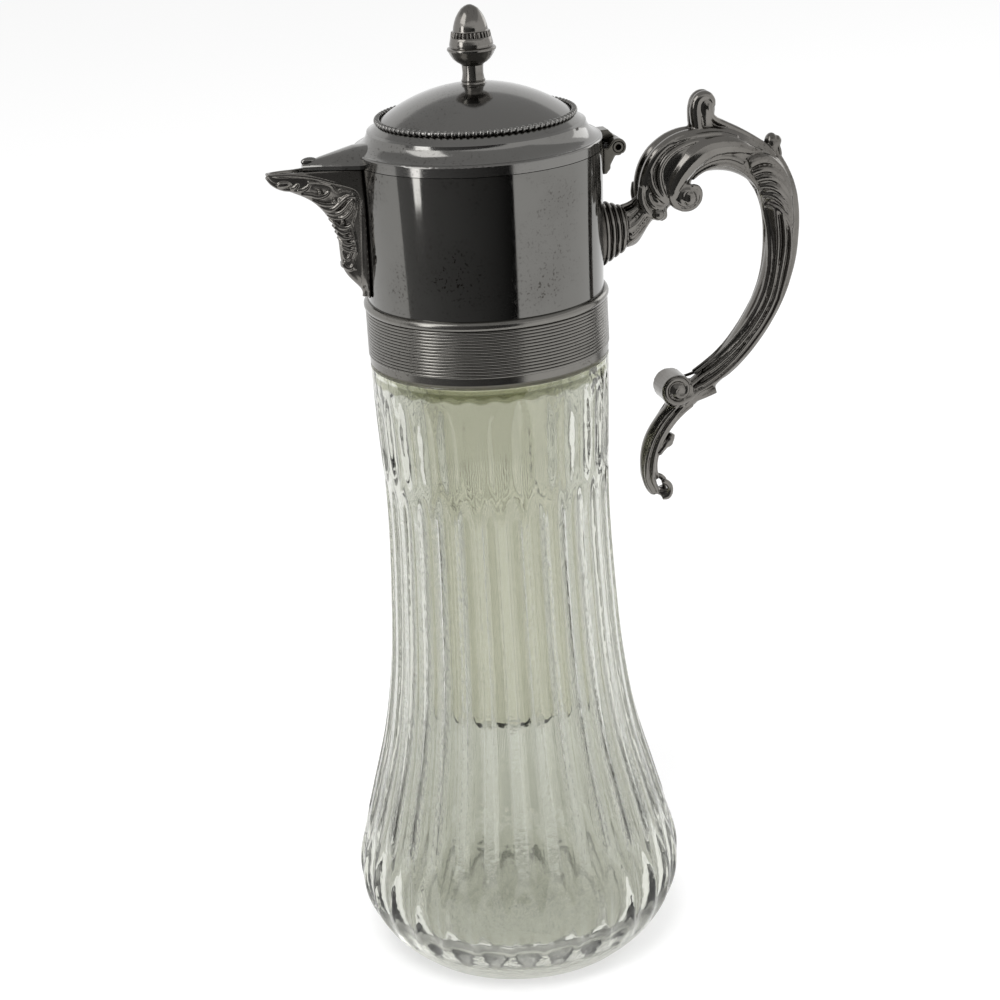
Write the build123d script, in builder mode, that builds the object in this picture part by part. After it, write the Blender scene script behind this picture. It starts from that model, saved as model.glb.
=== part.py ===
"""Silver plated water pitcher with a fluted glass body, a hinged lid and an ice tube.

Millimetres. The origin is the centre of the glass foot where it stands, +Z is up, the spout
points along -X and the handle along +X. The whole pitcher is even about the XZ plane.
"""
from build123d import *
from math import cos, radians, sin, sqrt
import os

os.makedirs("parts", exist_ok=True)

# Glass body: three rows of flutes on a flared vase, with a plain neck under the metal
flute_count = 30
foot_radius = 39.5
belly_radius = 54.8
belly_height = 28.0
waist_radius = 36.5
waist_height = 158.0
shoulder_radius = 38.3
shoulder_height = 206.0
petal_bottom = 5.0
petal_top = 40.0
long_flute_top = 168.5
neck_flute_top = 202.0
petal_depth = 1.3
long_flute_depth = 1.1
neck_flute_depth = 0.8
row_gap = 0.4
row_groove = 0.2
glass_wall = 5.0
glass_floor = 14.0
floor_corner = 6.0
neck_wall = 4.1
neck_height = 15.0

# Metal mount: reeded band, collar and the cement that holds them on the glass
sheet = 0.8
cement_thickness = 1.2
cement_bead = 1.5
band_height = 20.2
band_lip_height = 2.2
band_shoulder_height = 3.0
band_shoulder_width = 1.5
band_skin = 0.7
reed_count = 15
reed_relief = 0.35
collar_height = 44.7
collar_flare = 1.6

# Lid: plain skirt, concave cove, beaded wire and a shallow dome
seam = 0.2
lid_sheet = 0.9
skirt_height = 3.6
cove_height = 4.8
cove_width = 5.0
step_height = 2.3
dome_radius = 30.9
dome_height = 10.7
bead_radius = 0.95
bead_count = 90
bead_wire_radius = 0.5

# Spout and the beak of the lid that covers it
spout_length = 28.0
spout_half_width = 8.2
spout_depth = 42.0
spout_wall = 1.6
mouth_half_width = 5.5
mouth_depth = 24.0
beak_length = 16.4
beak_half_width = 9.6
beak_root_height = 6.4
beak_edge = 1.2
stud_length = 5.2
stud_radius = 1.3

# Finial
stem_radius = 3.4
stem_height = 5.7
stem_ring = 0.3
stem_ring_height = 0.5
stem_hollow = 0.15
cup_radius = 7.6
cup_height = 5.0
cup_rim = 0.5
acorn_height = 13.4
acorn_radius = 6.3
acorn_step = 1.0
milled_height = 2.4
milled_count = 30
milled_slot = 0.5
rod_grip = 4.0
rod_radius = 1.5
rod_clearance = 0.05
nut_width = 5.5
nut_height = 2.4
washer_radius = 4.2
washer_thickness = 0.6

# Hinge behind the lid
hinge_reach = 4.3
hinge_drop = 1.7
knuckle_radius = 2.7
pin_radius = 1.6
pin_clearance = 0.05
pin_overhang = 0.2
pin_dimple = 1.0
dimple_depth = 2.0
middle_knuckle = 6.0
outer_knuckle = 4.5
knuckle_gap = 0.25
bracket_depth = 8.2
bracket_plate = 1.6

# Handle: a ringed socket against the collar, a cast arm and one screw from inside
socket_height = 14.5
socket_length = 8.0
socket_half_height = 10.9
socket_half_width = 8.6
socket_end_half_height = 7.3
socket_end_half_width = 6.2
ring_count = 4
ring_groove = 0.8
ring_share = 0.65
screw_radius = 2.5
screw_clearance = 0.1
screw_head_radius = 4.2
screw_head_height = 1.4
screw_reach = 3.3
screw_washer_radius = 6.0
screw_washer_thickness = 0.8

# Ice tube
tube_radius = 22.3
tube_wall = 1.8
tube_length = 137.0
tube_rim = 4.5
flange_radius = 34.0
flange_thickness = 1.6
flange_hole_radius = 3.4
flange_hole_count = 12
seat_gap = 0.1

# Heights and radii that follow from the sizes above
neck_radius = shoulder_radius - 2.7
bore_radius = neck_radius - neck_wall
glass_top = shoulder_height + neck_height
collar_inner = neck_radius + cement_thickness
collar_radius = collar_inner + sheet
band_bottom = shoulder_height + cement_bead
band_top = band_bottom + band_height
rim_height = band_top + collar_height
rim_radius = collar_radius + collar_flare
lid_bottom = rim_height + seam
cove_bottom = lid_bottom + skirt_height
dome_bottom = cove_bottom + cove_height + step_height
cove_top_radius = rim_radius - cove_width
dome_top = dome_bottom + dome_height
hinge_x = rim_radius + hinge_reach
hinge_z = rim_height - hinge_drop
socket_z = band_top + socket_height


def collar_radius_at(height):
    """Outside radius of the tapered collar."""
    return collar_radius + collar_flare * (height - band_top) / collar_height


def smooth_between(stations, height):
    """Radius on the smooth line through a list of (height, radius) stations."""

    def slope(i):
        low = stations[max(i - 1, 0)]
        high = stations[min(i + 1, len(stations) - 1)]
        return (high[1] - low[1]) / (high[0] - low[0])

    i = 0
    while i < len(stations) - 2 and height > stations[i + 1][0]:
        i += 1
    span = stations[i + 1][0] - stations[i][0]
    t = (height - stations[i][0]) / span
    start = stations[i][1] * (1 + 2 * t) * (1 - t) ** 2 + slope(i) * span * t * (1 - t) ** 2
    end = stations[i + 1][1] * t * t * (3 - 2 * t) + slope(i + 1) * span * t * t * (t - 1)
    return start + end


# The outline of the glass: the foot swells to the belly, then flares in to the waist
foot_swell = belly_radius - foot_radius
flare = belly_radius - waist_radius
flare_height = waist_height - belly_height
glass_stations = [
    (0.0, foot_radius),
    (0.18 * belly_height, foot_radius + 0.36 * foot_swell),
    (0.57 * belly_height, foot_radius + 0.85 * foot_swell),
    (belly_height, belly_radius),
    (belly_height + 0.12 * flare_height, waist_radius + 0.82 * flare),
    (belly_height + 0.23 * flare_height, waist_radius + 0.62 * flare),
    (belly_height + 0.37 * flare_height, waist_radius + 0.36 * flare),
    (belly_height + 0.55 * flare_height, waist_radius + 0.16 * flare),
    (belly_height + 0.78 * flare_height, waist_radius + 0.045 * flare),
    (waist_height, waist_radius),
    (0.30 * waist_height + 0.70 * shoulder_height, 0.22 * waist_radius + 0.78 * shoulder_radius),
    (shoulder_height, shoulder_radius),
]

# Depth of the flutes up each row, as shares of its height and of its full depth
petal_row = [(0.0, 0.05), (0.12, 0.25), (0.30, 0.8), (0.52, 1.0), (0.78, 0.75), (1.0, 0.05)]
long_row = [(0.0, 0.05), (0.06, 0.75), (0.17, 1.0), (0.35, 1.0)]
long_row += [(0.56, 1.0), (0.78, 1.0), (0.93, 0.75), (1.0, 0.05)]
neck_row = [(0.0, 0.05), (0.14, 0.7), (0.40, 1.0), (0.72, 0.8), (1.0, 0.05)]
pitch_angle = 360.0 / flute_count


def glass_radius_at(height):
    """Radius of the glass over the ridges between its flutes."""
    return smooth_between(glass_stations, height)


def around(radius, angle):
    """Point at a radius and an angle in degrees, in the plane of a section."""
    return (radius * cos(radians(angle)), radius * sin(radians(angle)))


def fluted_section(height, depth, first_angle):
    """One level of the glass: a ring of shallow arcs, each hollowed by the depth."""
    ridge = glass_radius_at(height)
    with BuildSketch(Plane.XY.offset(height)) as section:
        with BuildLine():
            for flute in range(flute_count):
                centre = first_angle + pitch_angle * flute
                ThreePointArc(
                    around(ridge, centre - pitch_angle / 2),
                    around(ridge - depth, centre),
                    around(ridge, centre + pitch_angle / 2),
                )
        make_face()
    return section.sketch


def fluted_row(shares, bottom, top, depth, first_angle):
    """One row of flutes, lofted through its levels, on a thin disc that parts it from the next."""
    start = bottom + row_gap
    levels = [
        fluted_section(start + share * (top - start), depth * part, first_angle)
        for share, part in shares
    ]
    loft(levels)
    with BuildSketch(Plane.XY.offset(bottom)) as disc:
        Circle(glass_radius_at(bottom) - row_groove)
    extrude(disc.sketch, amount=row_gap)


# Glass body: pressed in one piece, with a thick floor and a smooth inside
with BuildPart() as glass_body:
    with BuildSketch(Plane.XZ):
        with BuildLine():
            foot_top = (glass_radius_at(petal_bottom) - row_groove, petal_bottom)
            foot_middle = (glass_radius_at(petal_bottom / 2), petal_bottom / 2)
            foot_line = Spline([(foot_radius, 0.0), foot_middle, foot_top])
            Line(foot_line @ 1, (0, petal_bottom))
            Line((0, petal_bottom), (0, 0))
            Line((0, 0), foot_line @ 0)
        make_face()
    revolve(axis=Axis.Z)
    fluted_row(petal_row, petal_bottom, petal_top, petal_depth, pitch_angle / 2)
    fluted_row(long_row, petal_top, long_flute_top, long_flute_depth, 0.0)
    fluted_row(neck_row, long_flute_top, neck_flute_top, neck_flute_depth, pitch_angle / 2)
    with BuildSketch(Plane.XY.offset(neck_flute_top)):
        Circle(glass_radius_at(neck_flute_top) - row_groove)
    with BuildSketch(Plane.XY.offset(shoulder_height)):
        Circle(shoulder_radius)
    loft()
    with BuildSketch(Plane.XY.offset(shoulder_height)):
        Circle(neck_radius)
    extrude(amount=neck_height)
    with BuildSketch(Plane.XZ):
        with BuildLine():
            inside = [(glass_radius_at(h) - glass_wall, h) for h, _ in glass_stations[3:10]]
            lower = (glass_radius_at(glass_floor) - glass_wall - floor_corner, glass_floor)
            wall_points = [lower] + inside[:-1] + [(bore_radius, waist_height)]
            wall_line = Spline(wall_points, tangents=[(1, 0), (0, 1)])
            Line(wall_line @ 1, (bore_radius, glass_top))
            Line((bore_radius, glass_top), (0, glass_top))
            Line((0, glass_top), (0, glass_floor))
            Line((0, glass_floor), wall_line @ 0)
        make_face()
    revolve(axis=Axis.Z, mode=Mode.SUBTRACT)

glass_body.part.label = "glass_body"
export_step(glass_body.part, "parts/glass_body.step")


# Cement that fills the gap between the glass neck and the metal, with a thin bead below the band
with BuildPart() as neck_cement:
    with BuildSketch(Plane.XZ):
        with BuildLine():
            Polyline(
                (neck_radius, shoulder_height),
                (shoulder_radius - 0.4, shoulder_height),
                (shoulder_radius - 0.4, band_bottom),
                (collar_inner, band_bottom),
                (collar_inner, glass_top - 1.0),
                (neck_radius, glass_top - 1.0),
                close=True,
            )
        make_face()
    revolve(axis=Axis.Z)

neck_cement.part.label = "neck_cement"
export_step(neck_cement.part, "parts/neck_cement.step")

# Reeded band: a strip with raised reeds and a rounded shoulder, wrapped round the collar's foot
with BuildPart() as reeded_band:
    reed_bottom = band_bottom + band_lip_height
    reed_top = band_top - band_shoulder_height
    reed_pitch = (reed_top - reed_bottom) / reed_count
    reed_root = collar_radius + band_skin
    with BuildSketch(Plane.XZ):
        with BuildLine():
            Line((collar_radius, band_top), (collar_radius, band_bottom))
            Line((collar_radius, band_bottom), (reed_root, band_bottom))
            Line((reed_root, band_bottom), (reed_root, reed_bottom))
            for reed in range(reed_count):
                foot = reed_bottom + reed * reed_pitch
                ThreePointArc(
                    (reed_root, foot),
                    (reed_root + reed_relief, foot + reed_pitch / 2),
                    (reed_root, foot + reed_pitch),
                )
            ThreePointArc(
                (reed_root, reed_top),
                (collar_radius + band_shoulder_width, reed_top + 0.4 * band_shoulder_height),
                (collar_radius, band_top),
            )
        make_face()
    revolve(axis=Axis.Z)

reeded_band.part.label = "reeded_band"
export_step(reeded_band.part, "parts/reeded_band.step")


def collar_form(inward):
    """Solid inside of the collar's outer surface, moved inwards by an amount."""
    with BuildPart() as form:
        with BuildSketch(Plane.XZ):
            with BuildLine():
                Polyline(
                    (0, band_bottom),
                    (collar_radius - inward, band_bottom),
                    (collar_radius - inward, band_top),
                    (rim_radius - inward, rim_height),
                    (0, rim_height),
                    close=True,
                )
            make_face()
        revolve(axis=Axis.Z)
    return form.part


collar_outside = collar_form(0.0)
collar_inside = collar_form(sheet)

# Collar: a thin tapered tube, open at the spout and drilled for the handle's screw
with BuildPart() as collar_shell:
    add(collar_outside)
    add(collar_inside, mode=Mode.SUBTRACT)
    with BuildSketch(Plane.YZ.offset(-collar_radius + sheet + 3.0)):
        with Locations((0, rim_height - mouth_depth / 2)):
            Rectangle(2 * mouth_half_width, mouth_depth)
    extrude(amount=-sheet - collar_flare - 5.0, mode=Mode.SUBTRACT)
    with BuildSketch(Plane.YZ.offset(collar_radius - sheet - 3.0)):
        with Locations((0, socket_z)):
            Circle(screw_radius + screw_clearance)
    extrude(amount=sheet + collar_flare + 5.0, mode=Mode.SUBTRACT)

collar_shell.part.label = "collar_shell"
export_step(collar_shell.part, "parts/collar_shell.step")

# The spout from its foot to its rim: share of the height, reach past the collar and half width
spout_levels = [
    (0.00, 0.03, 0.42),
    (0.10, 0.08, 0.52),
    (0.22, 0.21, 0.62),
    (0.31, 0.24, 0.70),
    (0.45, 0.25, 0.80),
    (0.58, 0.30, 0.90),
    (0.70, 0.42, 0.97),
    (0.80, 0.60, 1.00),
    (0.88, 0.84, 1.00),
    (0.95, 0.97, 1.00),
    (1.00, 1.00, 1.00),
]


def spout_form(inward, floor, lift, nose_half_width):
    """Upright body with a pointed plan, from the levels above the floor, made smaller by a wall."""
    levels = []
    for share, reach, width in spout_levels:
        if share < floor:
            continue
        height = rim_height - spout_depth * (1.0 - share) + lift * (1.0 - share)
        nose = -rim_radius - max(spout_length * reach - inward, 0.4)
        half = spout_half_width * width - inward
        tip = min(nose_half_width, 0.45 * half)
        with BuildSketch(Plane.XY.offset(height)) as section:
            with BuildLine():
                back = -collar_radius + 4.0
                corner = -rim_radius + 0.5
                Line((corner, -half), (back, -half))
                Line((back, -half), (back, half))
                Line((back, half), (corner, half))
                Line((corner, half), (nose + tip, tip))
                ThreePointArc((nose + tip, tip), (nose, 0), (nose + tip, -tip))
                Line((nose + tip, -tip), (corner, -half))
            make_face()
        levels.append(section.sketch)
    with BuildPart() as form:
        loft(levels)
    return form.part


spout_outside = spout_form(0.0, 0.0, 0.0, 1.8)
spout_inside = spout_form(spout_wall, 0.45, spout_wall, 1.2)

# Spout: a cast lip with a pointed keel, soldered over the opening in the collar
with BuildPart() as spout_casting:
    add(spout_outside)
    add(spout_inside, mode=Mode.SUBTRACT)
    add(collar_outside, mode=Mode.SUBTRACT)

spout_casting.part.label = "spout_casting"
export_step(spout_casting.part, "parts/spout_casting.step")


def lid_form(inward):
    """Solid of revolution under the lid's outer surface, made smaller by the sheet."""
    bottom = lid_bottom
    with BuildPart() as form:
        with BuildSketch(Plane.XZ):
            with BuildLine():
                skirt = (rim_radius - inward, bottom)
                shoulder = (rim_radius - inward, cove_bottom - inward - 0.8)
                cove_foot = (rim_radius - inward - 0.9, cove_bottom - inward)
                cove_top = (cove_top_radius - inward, cove_bottom + cove_height - inward)
                step_foot = (cove_top_radius - 1.0 - inward, cove_bottom + cove_height + 0.5 - inward)
                dome_edge = (dome_radius - inward, dome_bottom - inward)
                Line((0, bottom), skirt)
                Line(skirt, shoulder)
                ThreePointArc(
                    shoulder,
                    (rim_radius - inward - 0.25, cove_bottom - inward - 0.24),
                    cove_foot,
                )
                middle = (
                    (cove_foot[0] + cove_top[0]) / 2 - 0.7,
                    (cove_foot[1] + cove_top[1]) / 2 - 0.5,
                )
                ThreePointArc(cove_foot, middle, cove_top)
                Line(cove_top, step_foot)
                Line(step_foot, dome_edge)
                sphere = (dome_radius ** 2 + dome_height ** 2) / (2 * dome_height)
                half_r = dome_radius / 2
                half_z = dome_top - sphere + sqrt(sphere ** 2 - half_r ** 2)
                ThreePointArc(dome_edge, (half_r - inward * 0.3, half_z - inward), (0, dome_top - inward))
                Line((0, dome_top - inward), (0, bottom))
            make_face()
        revolve(axis=Axis.Z)
    return form.part


# The beak of the lid along its length: share of the reach, half width and height of its crown
beak_levels = [
    (-0.55, 1.00, 1.00),
    (0.0, 0.98, 0.92),
    (0.33, 0.76, 0.72),
    (0.66, 0.46, 0.52),
    (1.0, 0.14, 0.27),
]


def beak_form(inward):
    """Pointed hood over the spout, with a flat foot, short sides and an arched crown."""
    levels = []
    for share, width, crown in beak_levels:
        x = -rim_radius - (beak_length - inward) * share
        half = max(beak_half_width * width - inward, 0.35)
        top = lid_bottom + max(beak_root_height * crown - inward, 0.3)
        edge = lid_bottom + min(beak_edge, 0.5 * (top - lid_bottom))
        with BuildSketch(Plane.YZ.offset(x)) as section:
            with BuildLine():
                Line((-half, lid_bottom), (half, lid_bottom))
                Line((half, lid_bottom), (half, edge))
                ThreePointArc((half, edge), (0, top), (-half, edge))
                Line((-half, edge), (-half, lid_bottom))
            make_face()
        levels.append(section.sketch)
    with BuildPart() as form:
        loft(levels, ruled=True)
    return form.part


lid_outside = lid_form(0.0)
lid_inside = lid_form(lid_sheet)
beak_outside = beak_form(0.0)
beak_inside = beak_form(lid_sheet)

# Lid: a spun shell with the beak raised from the same sheet
with BuildPart() as lid_shell:
    add(lid_outside)
    add(beak_outside)
    add(lid_inside, mode=Mode.SUBTRACT)
    add(beak_inside, mode=Mode.SUBTRACT)
    with BuildSketch(Plane.XY.offset(dome_bottom)):
        Circle(rod_radius + rod_clearance)
    extrude(amount=dome_height + 2.0, mode=Mode.SUBTRACT)

lid_shell.part.label = "lid_shell"
export_step(lid_shell.part, "parts/lid_shell.step")

# Beaded wire: a ring of small beads on a thin wire, lying round the foot of the dome
with BuildPart() as bead_wire:
    bead_ring = dome_radius - 0.1
    bead_level = dome_bottom + 0.9 * bead_radius
    with BuildSketch(Plane.XZ):
        with Locations((bead_ring, bead_level)):
            Circle(bead_wire_radius)
    revolve(axis=Axis.Z)
    with Locations((0, 0, bead_level)):
        with PolarLocations(bead_ring, bead_count):
            Sphere(bead_radius)
    add(lid_outside, mode=Mode.SUBTRACT)

bead_wire.part.label = "bead_wire"
export_step(bead_wire.part, "parts/bead_wire.step")

# Thumb stud: a small oval bead on the crown of the beak
with BuildPart() as beak_stud:
    stud_x = -rim_radius - 0.86 * beak_length
    stud_z = lid_bottom + beak_root_height * 0.36
    with BuildSketch(Plane.XZ):
        with Locations((stud_x, stud_z)):
            Ellipse(stud_length / 2, stud_radius)
            with Locations((0, -stud_radius)):
                Rectangle(stud_length, 2 * stud_radius, mode=Mode.SUBTRACT)
    revolve(axis=Axis((stud_x, 0, stud_z), (1, 0, 0)))
    add(beak_outside, mode=Mode.SUBTRACT)
    add(beak_inside, mode=Mode.SUBTRACT)

beak_stud.part.label = "beak_stud"
export_step(beak_stud.part, "parts/beak_stud.step")

# Finial: a stem and an acorn on a threaded rod, drawn down by a nut and a washer under the dome
stem_top = dome_top + stem_height
cup_top = stem_top + cup_height
acorn_top = cup_top + acorn_height
with BuildPart() as finial_stem:
    with BuildSketch(Plane.XZ):
        with BuildLine():
            stem_foot = (stem_radius + stem_ring, dome_top + stem_ring_height)
            stem_neck = (stem_radius, dome_top + stem_ring_height + stem_ring)
            stem_waist = (stem_radius - stem_hollow, dome_top + stem_height / 2)
            Polyline((0, dome_top - 1.0), (stem_foot[0], dome_top - 1.0), stem_foot, stem_neck)
            ThreePointArc(stem_neck, stem_waist, (stem_radius, stem_top))
            Polyline((stem_radius, stem_top), (0, stem_top), (0, dome_top - 1.0))
        make_face()
    revolve(axis=Axis.Z)
    add(lid_outside, mode=Mode.SUBTRACT)
    with BuildSketch(Plane.XY.offset(dome_top - 1.0)):
        Circle(rod_radius + rod_clearance)
    extrude(amount=stem_height + 2.0, mode=Mode.SUBTRACT)

finial_stem.part.label = "finial_stem"
export_step(finial_stem.part, "parts/finial_stem.step")

rod_top = cup_top + rod_grip
with BuildPart() as finial_acorn:
    with BuildSketch(Plane.XZ):
        with BuildLine():
            rim_under = (cup_radius, cup_top - cup_rim)
            rim_over = (cup_radius - cup_rim, cup_top + cup_rim)
            milled_bottom = cup_top + 4 * cup_rim
            milled_top = milled_bottom + milled_height
            nut_foot = (acorn_radius - acorn_step, milled_top + 0.2)
            ThreePointArc(
                (stem_radius, stem_top),
                (stem_radius + 0.80 * (cup_radius - stem_radius), stem_top + 0.50 * cup_height),
                rim_under,
            )
            ThreePointArc(rim_under, (cup_radius + 0.1, cup_top), rim_over)
            Polyline(
                rim_over,
                (acorn_radius + 0.15, cup_top + 1.8 * cup_rim),
                (acorn_radius, milled_bottom),
                (nut_foot[0] + 0.25, milled_top),
                nut_foot,
            )
            Spline(
                nut_foot,
                (0.76 * nut_foot[0], cup_top + 0.72 * acorn_height),
                (0.46 * nut_foot[0], cup_top + 0.92 * acorn_height),
                (0, acorn_top),
                tangents=[(-0.25, 1), (-1, 0)],
            )
            Line((0, acorn_top), (0, stem_top))
            Line((0, stem_top), (stem_radius, stem_top))
        make_face()
    revolve(axis=Axis.Z)
    with BuildSketch(Plane.XY.offset(milled_bottom)):
        with PolarLocations(acorn_radius, milled_count):
            Rectangle(2 * milled_slot, milled_slot)
    extrude(amount=milled_height, mode=Mode.SUBTRACT)
    with BuildSketch(Plane.XY.offset(stem_top)):
        Circle(rod_radius + rod_clearance)
    extrude(amount=rod_top - stem_top, mode=Mode.SUBTRACT)

finial_acorn.part.label = "finial_acorn"
export_step(finial_acorn.part, "parts/finial_acorn.step")

# The washer is dished by the dome above it, so it sits on the lid's inside
washer_top = dome_top - lid_sheet
washer_bottom = washer_top - washer_thickness - 0.3
with BuildPart() as finial_washer:
    with BuildSketch(Plane.XY.offset(washer_bottom)):
        Circle(washer_radius)
        Circle(rod_radius + rod_clearance, mode=Mode.SUBTRACT)
    extrude(amount=washer_thickness + 1.0)
    add(lid_inside, mode=Mode.INTERSECT)

finial_washer.part.label = "finial_washer"
export_step(finial_washer.part, "parts/finial_washer.step")

with BuildPart() as finial_nut:
    with BuildSketch(Plane.XY.offset(washer_bottom - nut_height)):
        RegularPolygon(nut_width / 2, 6, major_radius=False)
        Circle(rod_radius + rod_clearance, mode=Mode.SUBTRACT)
    extrude(amount=nut_height)

finial_nut.part.label = "finial_nut"
export_step(finial_nut.part, "parts/finial_nut.step")

with BuildPart() as finial_rod:
    with BuildSketch(Plane.XY.offset(washer_bottom - nut_height - 1.0)):
        Circle(rod_radius)
    extrude(amount=rod_top - washer_bottom + nut_height + 1.0)
    chamfer(finial_rod.faces().sort_by(Axis.Z)[0].edges(), 0.3)

finial_rod.part.label = "finial_rod"
export_step(finial_rod.part, "parts/finial_rod.step")

# Hinge bracket: two knuckles on cheeks that taper down the back of the collar to a plate
cheek_inner = middle_knuckle / 2 + knuckle_gap
cheek_outer = cheek_inner + outer_knuckle
with BuildPart() as hinge_bracket:
    for side in (-1, 1):
        with BuildSketch(Plane.XZ.offset(-side * cheek_inner)):
            with BuildLine():
                Polyline(
                    (collar_radius - 2.0, hinge_z - bracket_depth),
                    (rim_radius, hinge_z - bracket_depth),
                    (hinge_x - 0.3 * knuckle_radius, hinge_z - 0.85 * knuckle_radius),
                    (hinge_x, hinge_z),
                    (hinge_x - 0.7 * knuckle_radius, hinge_z + 0.7 * knuckle_radius),
                    (rim_radius + 0.6, hinge_z),
                    (collar_radius - 2.0, hinge_z),
                    close=True,
                )
            make_face()
            with Locations((hinge_x, hinge_z)):
                Circle(knuckle_radius)
        extrude(amount=-side * outer_knuckle)
    with BuildSketch(Plane.XY.offset(hinge_z - bracket_depth)):
        with Locations((rim_radius - 2.0 + bracket_plate / 2, 0)):
            Rectangle(bracket_plate + 4.0, 2 * cheek_outer)
    extrude(amount=bracket_depth - hinge_drop)
    add(collar_outside, mode=Mode.SUBTRACT)
    with BuildSketch(Plane.XZ.offset(-cheek_outer - 1.0)):
        with Locations((hinge_x, hinge_z)):
            Circle(pin_radius + pin_clearance)
    extrude(amount=2 * cheek_outer + 2.0, mode=Mode.SUBTRACT)

hinge_bracket.part.label = "hinge_bracket"
export_step(hinge_bracket.part, "parts/hinge_bracket.step")

# Hinge pin: a short rod, dimpled at both ends
with BuildPart() as hinge_pin:
    with BuildSketch(Plane.XZ.offset(-cheek_outer - pin_overhang)):
        with Locations((hinge_x, hinge_z)):
            Circle(pin_radius)
    extrude(amount=2 * (cheek_outer + pin_overhang))
    near_end = Plane.XZ.offset(-cheek_outer - pin_overhang)
    far_end = Plane.XZ.offset(cheek_outer + pin_overhang - dimple_depth)
    with BuildSketch(near_end, far_end):
        with Locations((hinge_x, hinge_z)):
            Circle(pin_dimple)
    extrude(amount=dimple_depth, mode=Mode.SUBTRACT)

hinge_pin.part.label = "hinge_pin"
export_step(hinge_pin.part, "parts/hinge_pin.step")

# Hinge leaf: the middle knuckle on a strap soldered to the back of the lid's skirt
with BuildPart() as lid_hinge_leaf:
    with BuildSketch(Plane.XZ.offset(-middle_knuckle / 2)):
        with BuildLine():
            Polyline(
                (rim_radius - 2.0, lid_bottom),
                (rim_radius + 0.9, lid_bottom),
                (hinge_x - 0.6 * knuckle_radius, hinge_z),
                (hinge_x, hinge_z),
                (hinge_x + 0.2, hinge_z + knuckle_radius),
                (rim_radius + 2.6, cove_bottom - 0.6),
                (rim_radius - 2.0, cove_bottom - 0.6),
                close=True,
            )
        make_face()
        with Locations((hinge_x, hinge_z)):
            Circle(knuckle_radius)
    extrude(amount=middle_knuckle)
    add(lid_outside, mode=Mode.SUBTRACT)
    with BuildSketch(Plane.XZ.offset(-middle_knuckle / 2 - 1.0)):
        with Locations((hinge_x, hinge_z)):
            Circle(pin_radius + pin_clearance)
    extrude(amount=middle_knuckle + 2.0, mode=Mode.SUBTRACT)

lid_hinge_leaf.part.label = "lid_hinge_leaf"
export_step(lid_hinge_leaf.part, "parts/lid_hinge_leaf.step")

# Handle socket: an oval ferrule with deep rings, tapering away from the collar
socket_x = collar_radius_at(socket_z)


def socket_oval(share, groove):
    """Oval across the socket at a share of its length, made smaller by a groove."""
    half_height = socket_half_height - max(share, 0) * (socket_half_height - socket_end_half_height)
    half_width = socket_half_width - max(share, 0) * (socket_half_width - socket_end_half_width)
    centre = (socket_x + socket_length * share, 0, socket_z + 0.8 * share)
    with BuildSketch(Plane(origin=centre, x_dir=(0, 1, 0), z_dir=(1, 0, 0))) as section:
        Ellipse(half_width - groove, half_height - groove)
    return section


with BuildPart() as handle_socket:
    socket_ovals = []
    for level in (-1.0, 0.0, ring_count):
        socket_ovals.append(socket_oval(level / ring_count, ring_groove).sketch)
    loft(socket_ovals[:2])
    loft(socket_ovals[1:])
    for ring in range(ring_count):
        extrude(socket_oval(ring / ring_count, 0.0).sketch, amount=ring_share * socket_length / ring_count)
    add(collar_outside, mode=Mode.SUBTRACT)
    with BuildSketch(Plane.YZ.offset(socket_x - 5.0)):
        with Locations((0, socket_z)):
            Circle(screw_radius + screw_clearance)
    extrude(amount=socket_length + 10.0, mode=Mode.SUBTRACT)

handle_socket.part.label = "handle_socket"
export_step(handle_socket.part, "parts/handle_socket.step")

# Handle arm: centre line from the socket, as reach and rise with the half depth and half width there
arm_levels = [
    (0.0, 0.8, 7.3, 6.2),
    (3.2, 1.8, 6.2, 5.7),
    (6.9, 5.2, 4.9, 5.3),
    (11.4, 10.1, 7.0, 6.4),
    (14.9, 16.2, 8.9, 7.0),
    (19.9, 21.2, 8.7, 7.4),
    (26.4, 23.2, 8.1, 7.4),
    (33.9, 23.1, 8.0, 7.2),
    (41.5, 20.0, 7.2, 6.8),
    (48.2, 14.7, 6.8, 6.6),
    (52.3, 7.4, 6.3, 6.2),
    (53.7, -1.7, 5.95, 5.8),
    (53.1, -12.7, 5.8, 5.5),
    (50.3, -23.4, 5.4, 5.2),
    (45.7, -32.6, 5.1, 5.0),
    (39.5, -41.4, 4.8, 4.8),
    (32.3, -48.8, 4.5, 4.6),
    (24.5, -55.0, 4.4, 4.5),
    (17.9, -60.4, 4.2, 4.3),
    (11.7, -66.0, 3.9, 4.1),
    (7.1, -72.6, 3.6, 3.9),
    (5.5, -79.6, 3.4, 3.7),
    (5.9, -86.2, 3.0, 3.4),
    (8.3, -90.8, 2.5, 3.0),
]
# Curls of the arm: reach, rise, radius, half width and the radius of the eye
arm_curls = [(19.9, 10.3, 4.4, 7.4, 2.5), (15.2, -54.8, 6.1, 5.6, 2.6), (10.9, -90.9, 2.6, 3.4, 1.1)]
# Leaf tips on the arm: reach and rise at the root and at the tip, half depth and half width
arm_leaves = [
    (28.6, 28.5, 28.4, 42.3, 4.2, 4.0),
    (51.2, 19.5, 53.1, 26.0, 2.6, 3.0),
    (9.5, -75.5, 15.0, -72.4, 2.2, 2.6),
    (24.0, -57.5, 30.6, -57.2, 1.6, 3.2),
]
leaf_ball = (12.2, 4.2, 2.7, 4.4)


def oval_section(x, z, along_x, along_z, half_depth, half_width):
    """Oval across a line in the XZ plane that runs in the direction given."""
    plane = Plane(origin=(x, 0, z), x_dir=(0, 1, 0), z_dir=(along_x, 0, along_z))
    with BuildSketch(plane) as section:
        Ellipse(half_width, half_depth)
    return section.sketch


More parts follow.
